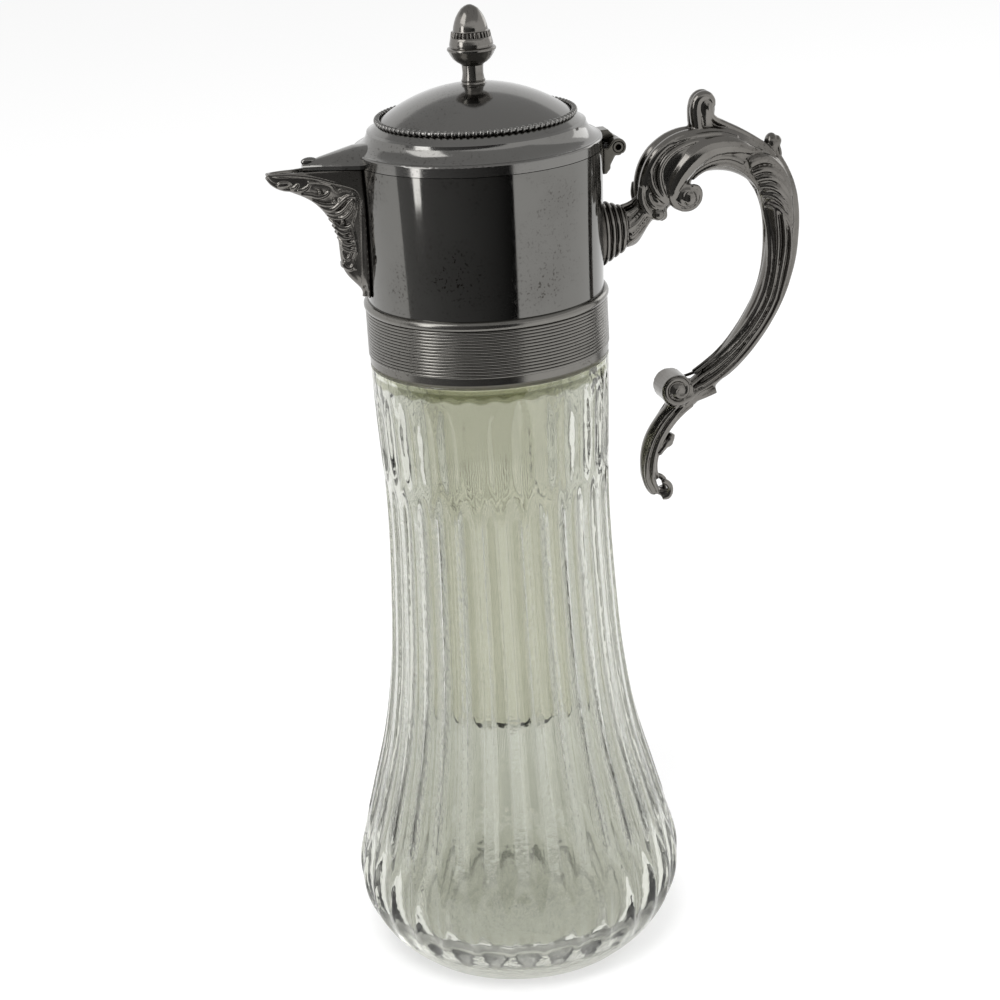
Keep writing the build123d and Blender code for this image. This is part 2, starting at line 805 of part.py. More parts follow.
arm_x = socket_x + socket_length
with BuildPart() as handle_arm:
    sections = []
    for i, (reach, rise, half_depth, half_width) in enumerate(arm_levels):
        before = arm_levels[max(i - 1, 0)]
        after = arm_levels[min(i + 1, len(arm_levels) - 1)]
        heading = (after[0] - before[0], after[1] - before[1]) if i else (1.0, 0.0)
        sections.append(oval_section(arm_x + reach, socket_z + rise, *heading, half_depth, half_width))
    loft(sections)
    for reach, rise, radius, half_width, eye in arm_curls:
        for curl_radius, curl_half_width in ((radius, half_width), (eye, half_width + 0.8)):
            with BuildSketch(Plane.XZ.offset(-curl_half_width)):
                with Locations((arm_x + reach, socket_z + rise)):
                    Circle(curl_radius)
            extrude(amount=2 * curl_half_width)
    for root_x, root_z, tip_x, tip_z, half_depth, half_width in arm_leaves:
        run = (tip_x - root_x, tip_z - root_z)
        leaf = []
        for share, size in ((0.0, 0.95), (0.35, 0.92), (0.70, 1.0), (0.90, 0.72), (1.0, 0.3)):
            x = arm_x + root_x + share * run[0]
            z = socket_z + root_z + share * run[1]
            leaf.append(oval_section(x, z, *run, half_depth * size, half_width * size))
        loft(leaf)
    with BuildSketch(Plane.XZ.offset(-leaf_ball[3])):
        with Locations((arm_x + leaf_ball[0], socket_z + leaf_ball[1])):
            Circle(leaf_ball[2])
    extrude(amount=2 * leaf_ball[3])
    with BuildSketch(Plane.YZ.offset(arm_x)):
        with Locations((0, socket_z)):
            Circle(screw_radius + screw_clearance)
    extrude(amount=screw_reach, mode=Mode.SUBTRACT)

handle_arm.part.label = "handle_arm"
export_step(handle_arm.part, "parts/handle_arm.step")

# Handle screw: from inside the collar, through a washer bent to the collar's curve
washer_face = socket_x - sheet - screw_washer_thickness - 0.3
with BuildPart() as handle_washer:
    with BuildSketch(Plane.YZ.offset(washer_face)):
        with Locations((0, socket_z)):
            Circle(screw_washer_radius)
            Circle(screw_radius + screw_clearance, mode=Mode.SUBTRACT)
    extrude(amount=screw_washer_thickness + 2.0)
    add(collar_inside, mode=Mode.INTERSECT)

handle_washer.part.label = "handle_washer"
export_step(handle_washer.part, "parts/handle_washer.step")

with BuildPart() as handle_screw:
    with BuildSketch(Plane.YZ.offset(washer_face - screw_head_height)):
        with Locations((0, socket_z)):
            Circle(screw_head_radius)
    extrude(amount=screw_head_height)
    chamfer(handle_screw.faces().sort_by(Axis.X)[0].edges(), 0.5)
    with BuildSketch(Plane.YZ.offset(washer_face - screw_head_height)):
        with Locations((0, socket_z)):
            Rectangle(2 * screw_head_radius, 1.0)
    extrude(amount=0.7, mode=Mode.SUBTRACT)
    with BuildSketch(Plane.YZ.offset(washer_face)):
        with Locations((0, socket_z)):
            Circle(screw_radius)
    extrude(amount=arm_x + screw_reach - 0.5 - washer_face)

handle_screw.part.label = "handle_screw"
export_step(handle_screw.part, "parts/handle_screw.step")

# Ice tube: a clear cup for ice that hangs in the neck by a pierced flange and lifts out
flange_bottom = glass_top + seat_gap
tube_bottom = flange_bottom - tube_length
tube_top = flange_bottom + flange_thickness + tube_rim
with BuildPart() as ice_tube:
    with BuildSketch(Plane.XY.offset(tube_bottom)):
        Circle(tube_radius)
    extrude(amount=tube_top - tube_bottom)
    fillet(ice_tube.faces().sort_by(Axis.Z)[0].edges(), 3.0)
    with BuildSketch(Plane.XY.offset(flange_bottom)):
        Circle(flange_radius)
        with PolarLocations((tube_radius + bore_radius) / 2, flange_hole_count):
            Circle(flange_hole_radius, mode=Mode.SUBTRACT)
    extrude(amount=flange_thickness)
    with BuildSketch(Plane.XY.offset(tube_bottom + tube_wall)):
        Circle(tube_radius - tube_wall)
    extrude(amount=tube_top - tube_bottom, mode=Mode.SUBTRACT)

ice_tube.part.label = "ice_tube"
export_step(ice_tube.part, "parts/ice_tube.step")
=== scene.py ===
"""A glass water pitcher with a silver plated collar, hinged lid, cast spout and scroll handle."""

import math

import bpy
import numpy as np
from mathutils import Matrix, Vector


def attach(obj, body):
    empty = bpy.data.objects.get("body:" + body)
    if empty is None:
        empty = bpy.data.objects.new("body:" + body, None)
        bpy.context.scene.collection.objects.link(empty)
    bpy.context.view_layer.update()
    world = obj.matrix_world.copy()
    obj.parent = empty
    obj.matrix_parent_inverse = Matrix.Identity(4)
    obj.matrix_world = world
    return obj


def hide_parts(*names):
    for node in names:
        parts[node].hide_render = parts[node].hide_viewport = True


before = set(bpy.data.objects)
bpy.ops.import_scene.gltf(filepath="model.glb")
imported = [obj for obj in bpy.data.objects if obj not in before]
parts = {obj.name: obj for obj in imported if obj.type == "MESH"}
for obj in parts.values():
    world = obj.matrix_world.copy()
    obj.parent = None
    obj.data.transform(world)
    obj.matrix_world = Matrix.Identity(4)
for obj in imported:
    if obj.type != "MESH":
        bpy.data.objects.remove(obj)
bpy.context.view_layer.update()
bpy.ops.object.select_all(action="DESELECT")


# CAMERA
# The photographer's view: a little left of square on, looking down at the lid, and tilted
# by hand, so the pitcher leans to the left in the frame.
camera_distance = 0.7572
camera_height = 0.4272
camera_bearing = math.radians(13.0)
camera_pitch = math.radians(19.67)
camera_roll = math.radians(-3.40)
lens_mm = 88.14

camera_data = bpy.data.cameras.new("photo_camera")
camera_data.sensor_width = 36.0
camera_data.lens = lens_mm
camera_data.clip_start = 0.01
camera_data.shift_x = 0.0017
photo_camera = bpy.data.objects.new("photo_camera", camera_data)
bpy.context.scene.collection.objects.link(photo_camera)
bpy.context.scene.camera = photo_camera
bpy.context.scene.view_settings.view_transform = "Standard"

ahead = Vector((math.sin(camera_bearing), math.cos(camera_bearing), 0.0))
ahead = ahead * math.cos(camera_pitch) - Vector((0.0, 0.0, math.sin(camera_pitch)))
rightward = Vector((math.cos(camera_bearing), -math.sin(camera_bearing), 0.0))
upward = rightward.cross(ahead)
rolled_right = rightward * math.cos(camera_roll) + upward * math.sin(camera_roll)
rolled_up = upward * math.cos(camera_roll) - rightward * math.sin(camera_roll)
turn = Matrix((rolled_right, rolled_up, -ahead)).transposed()
photo_camera.matrix_world = Matrix.Translation((
    -camera_distance * math.sin(camera_bearing),
    -camera_distance * math.cos(camera_bearing),
    camera_height,
)) @ turn.to_4x4()


# SHADER ARITHMETIC
# One output of a shader node. Sums and products of such values add Math nodes, and every
# other node is added by its node method.
class Shade:
    def __init__(self, tree, socket=None):
        self.tree = tree
        self.socket = socket

    def node(self, kind, settings=None, sockets=None, output=0):
        """Adds a node: its settings are made first, then its sockets are set or linked."""
        added = self.tree.nodes.new(kind)
        for name, value in (settings or {}).items():
            setattr(added, name, value)
        for name, value in (sockets or {}).items():
            if isinstance(value, Shade):
                self.tree.links.new(value.socket, added.inputs[name])
            else:
                added.inputs[name].default_value = value
        return Shade(self.tree, added.outputs[output])

    def other(self, name):
        """Another output of the same node."""
        return Shade(self.tree, self.socket.node.outputs[name])

    def math(self, operation, first, second=0.0):
        return self.node("ShaderNodeMath", {"operation": operation}, {0: first, 1: second})

    def __add__(self, other):
        return self.math("ADD", self, other)

    __radd__ = __add__

    def __sub__(self, other):
        return self.math("SUBTRACT", self, other)

    def __rsub__(self, other):
        return self.math("SUBTRACT", other, self)

    def __mul__(self, other):
        return self.math("MULTIPLY", self, other)

    def noise(self, place, scale, detail, rough):
        """Cloudy noise from 0 to 1 at so many lumps per metre."""
        return self.node(
            "ShaderNodeTexNoise",
            {"noise_dimensions": "3D"},
            {"Vector": place, "Scale": scale, "Detail": detail, "Roughness": rough},
        )

    def between(self, low, high):
        """0 below low, 1 above high and smooth between them."""
        return self.node(
            "ShaderNodeMapRange",
            {"interpolation_type": "SMOOTHSTEP"},
            {"Value": self, "From Min": low, "From Max": high},
        )

    def blend(self, share, first, second):
        """A colour: first where share is 0 and second where it is 1."""
        mixed = self.tree.nodes.new("ShaderNodeMix")
        mixed.data_type = "RGBA"
        for name, value in (("Factor", share), ("A", first), ("B", second)):
            wanted = "VALUE" if name == "Factor" else "RGBA"
            socket = next(s for s in mixed.inputs if s.name == name and s.type == wanted)
            if isinstance(value, Shade):
                self.tree.links.new(value.socket, socket)
            else:
                socket.default_value = value if name == "Factor" else (*value, 1.0)
        return Shade(self.tree, next(s for s in mixed.outputs if s.type == "RGBA"))


def new_finish(name):
    """A new material with one Principled shader: the material, its shader and a start for nodes."""
    material = bpy.data.materials.new(name)
    material.use_nodes = True
    shader = material.node_tree.nodes["Principled BSDF"]
    return material, shader, Shade(material.node_tree)


def feed(shader, name, value):
    """Links a worked out value to one of the shader's sockets."""
    value.tree.links.new(value.socket, shader.inputs[name])


# FLOOR AND ROOM
# A pale tabletop that runs out to white, soft lamps above, and the dim ceiling and dark side
# of the room, which only the polished metal and the glass pick up.
def seen_directly(start):
    """1 for rays from the camera, a reflection or a look through glass, 0 for lighting."""
    from_camera = start.node("ShaderNodeLightPath", output="Is Camera Ray")
    seen = start.math("MAXIMUM", from_camera, from_camera.other("Is Glossy Ray"))
    return start.math("MAXIMUM", seen, from_camera.other("Is Transmission Ray"))


tabletop_radius = 6.0
tabletop_grey = 0.48
tabletop_glow = 0.60
world_light = 0.62

bpy.ops.mesh.primitive_circle_add(
    vertices=96, radius=tabletop_radius, fill_type="NGON", location=(0, 0, 0)
)
tabletop = bpy.context.object
tabletop.name = "tabletop"
tabletop_finish, tabletop_shader, start = new_finish("tabletop_white")
tabletop_shader.inputs["Base Color"].default_value = (*(tabletop_grey,) * 3, 1.0)
tabletop_shader.inputs["Roughness"].default_value = 0.9
tabletop_shader.inputs["Specular IOR Level"].default_value = 0.0
tabletop_shader.inputs["Emission Color"].default_value = (1.0, 1.0, 1.0, 1.0)
feed(tabletop_shader, "Emission Strength", seen_directly(start) * tabletop_glow)
tabletop.data.materials.append(tabletop_finish)

room = bpy.data.worlds.new("studio_world")
room.use_nodes = True
bpy.context.scene.world = room
background = room.node_tree.nodes["Background"]
background.inputs["Color"].default_value = (1.0, 1.0, 1.0, 1.0)
seen_share = seen_directly(Shade(room.node_tree))
feed(background, "Strength", world_light + seen_share * (1.0 - world_light))


def soft_lamp(name, place, width, watts):
    """A square lamp that points at the pitcher and leaves no reflection of itself."""
    lamp_data = bpy.data.lights.new(name, "AREA")
    lamp_data.shape = "SQUARE"
    lamp_data.size = width
    lamp_data.energy = watts
    lamp = bpy.data.objects.new(name, lamp_data)
    bpy.context.scene.collection.objects.link(lamp)
    lamp.location = place
    pitcher_middle = Vector((0.0, 0.0, 0.15))
    lamp.rotation_euler = (pitcher_middle - lamp.location).to_track_quat("-Z", "Y").to_euler()
    lamp.visible_glossy = False


soft_lamp("overhead_lamp", (-0.5, -0.9, 1.9), width=0.9, watts=26.0)
soft_lamp("side_lamp", (1.7, 0.2, 1.3), width=0.8, watts=10.0)


def room_panel(name, corners, grey, far_grey):
    """A panel that only reflections and looks through glass meet, grey to far_grey along X."""
    mesh = bpy.data.meshes.new(name)
    mesh.from_pydata(corners, [], [(0, 1, 2, 3)])
    panel = bpy.data.objects.new(name, mesh)
    bpy.context.scene.collection.objects.link(panel)
    finish, shader, start = new_finish(name)
    shader.inputs["Base Color"].default_value = (0.0, 0.0, 0.0, 1.0)
    shader.inputs["Roughness"].default_value = 1.0
    shader.inputs["Specular IOR Level"].default_value = 0.0
    first_x = Vector(corners[0]).x
    last_x = Vector(corners[1]).x
    spot = start.node("ShaderNodeTexCoord", output="Object")
    along = start.node("ShaderNodeSeparateXYZ", None, {"Vector": spot}, "X")
    share = (along - first_x) * (1.0 / (last_x - first_x))
    feed(shader, "Emission Color", start.blend(share, (grey,) * 3, (far_grey,) * 3))
    shader.inputs["Emission Strength"].default_value = 1.0
    mesh.materials.append(finish)
    panel.visible_camera = False
    panel.visible_diffuse = False
    panel.visible_shadow = False


def toward(angle, reach, height):
    """A place as seen from the pitcher: degrees to the right of the camera, reach and height."""
    bearing = -camera_bearing - math.pi / 2 + math.radians(angle)
    return (reach * math.cos(bearing), reach * math.sin(bearing), height)


room_panel(
    "dark_side",
    [
        toward(-78, 0.48, 0.0), toward(29.5, 0.42, 0.0), toward(29.5, 0.42, 0.40),
        toward(-78, 0.48, 0.40),
    ],
    grey=0.34,
    far_grey=0.0,
)
room_panel(
    "window",
    [
        toward(-59, 0.30, 0.186), toward(-53, 0.30, 0.186), toward(-40, 0.30, 0.40),
        toward(-66, 0.30, 0.40),
    ],
    grey=4.5,
    far_grey=4.5,
)
room_panel(
    "high_window",
    [
        toward(-80, 0.50, 0.50), toward(-40, 0.50, 0.50), toward(-40, 0.50, 0.95),
        toward(-80, 0.50, 0.95),
    ],
    grey=3.0,
    far_grey=3.0,
)
room_panel(
    "far_window",
    [toward(118, 1.4, 0.3), toward(150, 1.4, 0.3), toward(150, 1.4, 0.8), toward(118, 1.4, 0.8)],
    grey=2.2,
    far_grey=2.2,
)
room_panel(
    "ceiling",
    [(-3.0, -3.0, 2.4), (3.0, -3.0, 2.4), (3.0, 3.0, 2.4), (-3.0, 3.0, 2.4)],
    grey=0.54,
    far_grey=0.54,
)


# PLATE
# Silver plate on brass, worn grey and darkened further as painted shade for the dim room it
# reflects, with brown tarnish in specks and patches, and tarnish and painted shade in its hollows.
# The scales are in lumps per metre.
# The brown of the tarnish specks and patches, which also paints the shade in the hollows.
tarnish_and_shade_brown = (0.020, 0.015, 0.011)
patch_scale = 28.0
speck_scale = 1100.0
dull_scale = 11.0
scuff_scale = 420.0
wave_scale = 55.0


def plate_finish(name, silver, shine, tarnish_share, speck_share=0.5, hollow=0.0):
    """A worn plate: colour, roughness, shares of tarnish, and how far the tarnish and painted shade
    in its hollows reach.
    """
    material, shader, start = new_finish(name)
    spot = start.node("ShaderNodeTexCoord", output="Object")
    clouds = start.noise(spot, patch_scale, 4.0, 0.6)
    specks = start.noise(spot, speck_scale, 3.0, 0.65).between(0.57, 0.65)
    patches = clouds.between(0.44, 0.66)
    dark = start.math("MINIMUM", patches * tarnish_share + specks * patches * speck_share, 1.0)
    # Tarnish and painted shade darken the hollows, found by ambient occlusion.
    if hollow:
        hollow_tarnish_and_shade = start.node("ShaderNodeAmbientOcclusion", {"samples": 6}, {"Distance": hollow}, "AO")
        hollow_tarnish_and_shade = (1.0 - hollow_tarnish_and_shade).between(0.12, 0.60)
        dark = start.math("MAXIMUM", dark, hollow_tarnish_and_shade)
    dull_silver = tuple(c * 0.86 for c in silver)
    clean = start.blend(start.noise(spot, dull_scale, 2.0, 0.5), silver, dull_silver)
    feed(shader, "Base Color", start.blend(dark, clean, tarnish_and_shade_brown))
    scuffs = start.noise(spot, scuff_scale, 4.0, 0.7).between(0.45, 0.8)
    feed(shader, "Roughness", shine + dark * 0.22 + scuffs * 0.05)
    shader.inputs["Metallic"].default_value = 1.0
    wave = start.noise(spot, wave_scale, 2.0, 0.5)
    dents = start.node(
        "ShaderNodeBump", None, {"Strength": 0.06, "Distance": 0.0004, "Height": wave}
    )
    feed(shader, "Normal", dents)
    return material


# The silver colours below are darker than the worn plate alone: painted shade that stands in for
# the dim room the polished metal reflects.
collar_plate = plate_finish(
    "collar_plate",
    (0.172, 0.169, 0.160),
    shine=0.07,
    tarnish_share=0.12,
    speck_share=0.85,
)
lid_plate = plate_finish("lid_plate", (0.21, 0.206, 0.197), shine=0.11, tarnish_share=0.12)
cast_plate = plate_finish(
    "cast_plate",
    (0.21, 0.200, 0.185),
    shine=0.16,
    tarnish_share=0.25,
    hollow=0.003,
)
band_plate = plate_finish(
    "band_plate",
    (0.21, 0.203, 0.188),
    shine=0.20,
    tarnish_share=0.15,
    hollow=0.001,
)
hinge_plate = plate_finish(
    "hinge_plate",
    (0.12, 0.114, 0.10),
    shine=0.22,
    tarnish_share=0.5,
    hollow=0.003,
)
finial_plate = plate_finish(
    "finial_plate",
    (0.22, 0.21, 0.195),
    shine=0.14,
    tarnish_share=0.2,
    hollow=0.0012,
)


def give_finish(piece, material):
    """Gives every face of a piece one material."""
    for slot in piece.material_slots:
        slot.material = material
    if not piece.material_slots:
        piece.data.materials.append(material)


give_finish(parts["collar_shell"], collar_plate)
give_finish(parts["lid_shell"], lid_plate)
give_finish(parts["beak_stud"], lid_plate)
give_finish(parts["reeded_band"], band_plate)
give_finish(parts["hinge_pin"], hinge_plate)


# STEEL
# The plain hardware inside, which holds the finial on the lid and the handle on the collar.
steel = plate_finish("steel", (0.42, 0.42, 0.42), shine=0.28, tarnish_share=0.05)
for node in ("handle_screw", "handle_washer", "finial_washer", "finial_nut", "finial_rod"):
    give_finish(parts[node], steel)


# GLASS BODY
# A vase pressed in one piece of pale grey green glass: three rows of hollow flutes, a thick
# stippled base, and a plain neck that stands cemented inside the collar.
MM = 0.001
flute_count = 30
shoulder_height = 206.0
neck_radius = 35.6
bore_radius = 31.5
glass_top = 221.0
floor_height = 14.0
glass_wall = 5.0
outside_heights = [0.0, 5.0, 16.0, 28.0, 43.6, 57.9, 76.1, 99.5, 129.4, 158.0, 191.6, 206.0]
outside_radii = [39.5, 45.0, 52.4, 54.7, 51.5, 47.8, 43.1, 39.4, 37.3, 36.5, 37.9, 38.3]


def smooth_line(places, values, wanted):
    """Values on the smooth line through a few stations, at the wanted places."""
    places, values, wanted = (np.asarray(numbers, float) for numbers in (places, values, wanted))
    slopes = np.gradient(values, places)
    low = np.clip(np.searchsorted(places, wanted) - 1, 0, len(places) - 2)
    span = places[low + 1] - places[low]
    t = (wanted - places[low]) / span
    start = values[low] * (1 + 2 * t) * (1 - t) ** 2 + slopes[low] * span * t * (1 - t) ** 2
    end = values[low + 1] * t * t * (3 - 2 * t) + slopes[low + 1] * span * t * t * (t - 1)
    return start + end


def points_of(piece):
    """The points of a piece's mesh, in millimetres."""
    points = np.empty(len(piece.data.vertices) * 3)
    piece.data.vertices.foreach_get("co", points)
    return points.reshape(-1, 3) / MM


def move_points(piece, points):
    """Moves the points of a piece's mesh to these places, in millimetres."""
    piece.data.vertices.foreach_set("co", (points * MM).ravel())
    piece.data.update()


def alone(piece):
    """Makes one piece the only one selected."""
    bpy.ops.object.select_all(action="DESELECT")
    piece.select_set(True)
    bpy.context.view_layer.objects.active = piece


def spun(name, outline, steps, closed=False):
    """Turns an outline of (radius, height) points in millimetres round the pitcher's axis."""
    mesh = bpy.data.meshes.new(name)
    points = [(radius * MM, 0.0, height * MM) for radius, height in outline]
    edges = [(i, i + 1) for i in range(len(points) - 1)]
    if closed:
        edges.append((len(points) - 1, 0))
    mesh.from_pydata(points, edges, [])
    piece = bpy.data.objects.new(name, mesh)
    bpy.context.scene.collection.objects.link(piece)
    alone(piece)
    bpy.ops.object.mode_set(mode="EDIT")
    bpy.ops.mesh.select_all(action="SELECT")
    bpy.ops.mesh.spin(steps=steps, angle=2 * math.pi, center=(0, 0, 0), axis=(0, 0, 1))
    bpy.ops.mesh.select_all(action="SELECT")
    bpy.ops.mesh.remove_doubles(threshold=1e-6)
    bpy.ops.mesh.normals_make_consistent(inside=False)
    bpy.ops.object.mode_set(mode="OBJECT")
    bpy.ops.object.shade_smooth()
    return piece


foot_line = [(0.0, 1.6), (12.0, 1.5), (24.0, 1.2), (32.0, 0.6), (36.0, 0.1), (38.6, 0.0)]
heights = np.concatenate([np.linspace(0.4, shoulder_height, 134), [shoulder_height + 0.3]])
radii = smooth_line(outside_heights, outside_radii, np.minimum(heights, shoulder_height))
outside = list(zip(radii, heights))
neck_line = [(38.0, 206.8), (36.4, 207.0)]
neck_line += [(neck_radius, 207.6), (neck_radius, 214.0), (neck_radius, 220.4)]
rim_line = [(neck_radius - 0.6, glass_top), (bore_radius + 0.6, glass_top), (bore_radius, 220.4)]
inside_heights = np.concatenate([np.linspace(212.0, 160.0, 5), np.linspace(152.0, 24.0, 22)])
inside_radii = np.minimum(
    smooth_line(outside_heights, outside_radii, inside_heights) - glass_wall,
    np.interp(inside_heights, [130.0, 158.0], [60.0, bore_radius]),
)
inside = list(zip(inside_radii, inside_heights))
lowest = inside[-1][0]
floor_line = [(lowest - 0.9, 20.0), (lowest - 2.6, 17.0), (lowest - 5.6, 14.9)]
floor_line += [(radius, floor_height) for radius in (lowest - 9.0, 30.0, 18.0, 8.0, 0.0)]
glass_line = foot_line + outside + neck_line + rim_line + inside + floor_line
glass_piece = spun("fluted_glass", glass_line, 480)

points = points_of(glass_piece)
radius = np.hypot(points[:, 0], points[:, 1])
height = points[:, 2]
pitch = 360.0 / flute_count
turns = np.degrees(np.arctan2(points[:, 1], points[:, 0])) / pitch
from_long = np.abs(turns - np.round(turns)) * 2
from_petal = 1.0 - from_long
arch_power = 1.6


def hollow(across, width, depth, low, low_arch, high, high_arch):
    """Depth of a row of flutes: a scoop across each flute that runs out in an arch at each end."""
    below = np.clip((low + low_arch - height) / low_arch, 0, None)
    above = np.clip((height - high + high_arch) / high_arch, 0, None)
    return depth * (1.0 - (across / width) ** 2 - below ** arch_power - above ** arch_power)


petals = hollow(
    from_petal, width=0.86, depth=1.6, low=9.5, low_arch=13.0, high=48.5, high_arch=20.0
)
long_flutes = hollow(
    from_long, width=0.66, depth=1.3, low=37.0, low_arch=16.0, high=169.5, high_arch=9.0
)
neck_flutes = hollow(
    from_petal, width=0.80, depth=1.0, low=169.0, low_arch=9.0, high=201.0, high_arch=12.0
)
pressed = np.maximum.reduce([petals, long_flutes, neck_flutes, np.zeros_like(height)])
skin_radius = smooth_line(outside_heights, outside_radii, np.clip(height, 0, shoulder_height))
outer_skin = radius > skin_radius - 0.05
pressed = np.where(outer_skin & (height > 4.0) & (height < 204.0), pressed, 0.0)
points[:, :2] *= ((radius - pressed) / np.maximum(radius, 1e-6))[:, None]
move_points(glass_piece, points)

# Heights in metres between which each change of the glass's finish comes in
cement_start = (0.2014, 0.2022)
cement_end = (0.2042, 0.2048)
lip_start = (0.2044, 0.2052)
rows_start = (0.036, 0.048)
rows_end = (0.158, 0.166)
base_end = (0.008, 0.012)
line_start = (0.008, 0.011)
line_end = (0.013, 0.017)

glass, glass_shader, start = new_finish("pressed_glass")
spot = start.node("ShaderNodeTexCoord", output="Object")
from_axis = start.node("ShaderNodeSeparateXYZ", None, {"Vector": spot}, "X")
level = from_axis.other("Z")
angle = start.math("ARCTAN2", from_axis.other("Y"), from_axis)
scallop = start.math("COSINE", angle * flute_count) * 0.0004
edge_level = level + scallop
cement_ring = edge_level.between(*cement_start) * (1.0 - level.between(*cement_end))
pale_lip = level.between(*lip_start)
streak = start.noise(spot, 60.0, 3.0, 0.6)
# The glass's grey green tint is darker than the glass alone: painted shade for the grey room seen
# through it.
pale = (0.680, 0.690, 0.625)
tint = start.blend(streak, pale, tuple(c * 0.94 for c in pale))
turns_round = angle * (flute_count / (2 * math.pi))
from_flute = start.math("PINGPONG", turns_round, 0.5) * 2.0
on_long_rows = level.between(*rows_start) * (1.0 - level.between(*rows_end))
ridge = from_flute.between(0.56, 0.72) * on_long_rows
base_share = 1.0 - edge_level.between(*base_end)
pale_line = edge_level.between(*line_start) * (1.0 - edge_level.between(*line_end))
# The stippled ridges are tinted paler: a painted highlight where they catch the light.
tint = start.blend(ridge * 0.7, tint, (0.86, 0.87, 0.83))
tint = start.blend(pale_line * 0.8, tint, (0.90, 0.91, 0.86))
tint = start.blend(base_share, tint, (0.62, 0.63, 0.54))
tint = start.blend(pale_lip, tint, (0.74, 0.75, 0.62))
feed(glass_shader, "Base Color", start.blend(cement_ring, tint, (0.22, 0.23, 0.14)))
stipple = start.noise(spot, 620.0, 3.0, 0.6)
ripple = start.noise(spot, 150.0, 2.0, 0.5)
stippled = start.math("MINIMUM", base_share + ridge, 1.0)
bumps = stipple * (0.06 + stippled * 1.2) + ripple * 1.1
uneven = start.node(
    "ShaderNodeBump", None, {"Strength": 0.5, "Distance": 0.0007, "Height": bumps}
)
feed(glass_shader, "Normal", uneven)
feed(glass_shader, "Roughness", 0.03 + stippled * 0.09 + stipple.between(0.5, 0.75) * 0.05)
glass_shader.inputs["IOR"].default_value = 1.5
glass_shader.inputs["Transmission Weight"].default_value = 1.0
glass_piece.data.materials.append(glass)
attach(glass_piece, "pitcher")
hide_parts("glass_body")


# BEADED WIRE
# A soldered wire of small round beads, one after the other, round the foot of the dome.
bead_count = 90
bead_ring = 30.8
bead_level = 284.15
bead_radius = 0.98
wire_radius = 0.62
bpy.ops.mesh.primitive_uv_sphere_add(
    segments=12, ring_count=8, radius=bead_radius * MM, location=(0, 0, 0)
)
first_bead = bpy.context.object
first_bead.data.transform(Matrix.Translation(Vector((bead_ring, 0.0, bead_level)) * MM))
bpy.ops.mesh.primitive_torus_add(
    major_radius=bead_ring * MM,
    minor_radius=wire_radius * MM,
    major_segments=180,
    minor_segments=10,
    location=(0, 0, 0),
)
beads = [bpy.context.object]
beads[0].data.transform(Matrix.Translation((0.0, 0.0, bead_level * MM)))
for count in range(bead_count):
    bead = first_bead.copy()
    bead.data = first_bead.data.copy()
    bpy.context.scene.collection.objects.link(bead)
    bead.data.transform(Matrix.Rotation(2 * math.pi * count / bead_count, 4, "Z"))
    beads.append(bead)
bpy.data.objects.remove(first_bead)
bpy.ops.object.select_all(action="DESELECT")
for bead in beads:
    bead.select_set(True)
bpy.context.view_layer.objects.active = beads[0]
bpy.ops.object.join()
beaded_wire = bpy.context.object
beaded_wire.name = "beaded_wire"
bpy.ops.object.shade_smooth()
beaded_plate = plate_finish(
    "beaded_plate",
    (0.24, 0.235, 0.225),
    shine=0.12,
    tarnish_share=0.15,
    hollow=0.0016,
)
give_finish(beaded_wire, beaded_plate)
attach(beaded_wire, "lid")
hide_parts("bead_wire")


# FINIAL
# A turned stem with a thin ring, a round cup, and an acorn whose lower edge is milled with
# small notches, all screwed down on one rod.
stem_line = [
    (0.0, 293.4), (4.9, 293.3), (4.7, 293.7), (3.75, 293.95), (3.6, 294.5), (3.75, 294.7),
    (3.75, 295.0), (3.55, 295.15), (3.45, 295.6), (3.25, 297.0), (3.3, 298.6), (3.4, 299.6),
    (3.9, 300.1), (4.9, 300.7), (5.9, 301.6), (6.8, 302.9), (7.25, 303.9), (7.55, 304.2),
    (7.65, 304.6), (7.5, 305.0), (7.0, 305.2), (6.75, 305.3), (6.7, 305.6), (6.85, 305.9),
    (6.75, 306.5),
]
acorn_line = [
    (6.75, 306.5), (6.55, 307.4), (6.35, 308.2), (6.2, 308.35), (6.3, 308.5), (6.05, 309.95),
    (5.9, 310.05), (5.5, 310.1), (5.38, 310.3), (5.4, 310.7), (5.25, 311.6), (4.9, 312.9),
    (4.4, 314.2), (3.6, 315.6), (2.6, 316.9), (1.6, 317.6), (0.7, 318.0), (0.0, 318.1),
]
turned_stem = spun("turned_stem", stem_line + [(0.0, 306.5)], 96)
acorn = spun("milled_acorn", [(0.0, 306.5)] + acorn_line, 240)
notch_count = 30
notch_share = 0.10
milling_bottom = 308.4
milling_top = 310.0
milling_radius = 5.8
points = points_of(acorn)
around = np.arctan2(points[:, 1], points[:, 0]) * notch_count
notch = np.clip(np.cos(around) * 1.6 + 0.2, 0.0, 1.0)
milled = (points[:, 2] > milling_bottom) & (points[:, 2] < milling_top)
milled &= np.hypot(points[:, 0], points[:, 1]) > milling_radius
points[:, :2] *= np.where(milled, 1.0 - notch_share * notch, 1.0)[:, None]
move_points(acorn, points)
for piece, node in ((turned_stem, "finial_stem"), (acorn, "finial_acorn")):
    alone(piece)
    bpy.ops.object.shade_smooth_by_angle(angle=math.radians(38))
    give_finish(piece, finial_plate)
    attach(piece, "lid")
    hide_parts(node)


# SPOUT
# A cast lip of plated white metal, soldered over the opening in the collar: a raised frame
# round a sunk panel with leaves, cups and pearls in high relief, the same on both sides.
def finish_with(piece, kind, **settings):
    """Adds a modifier, sets it and applies it."""
    alone(piece)
    modifier = piece.modifiers.new(kind.lower(), kind)
    for name, value in settings.items():
        setattr(modifier, name, value)
    bpy.ops.object.modifier_apply(modifier=modifier.name)


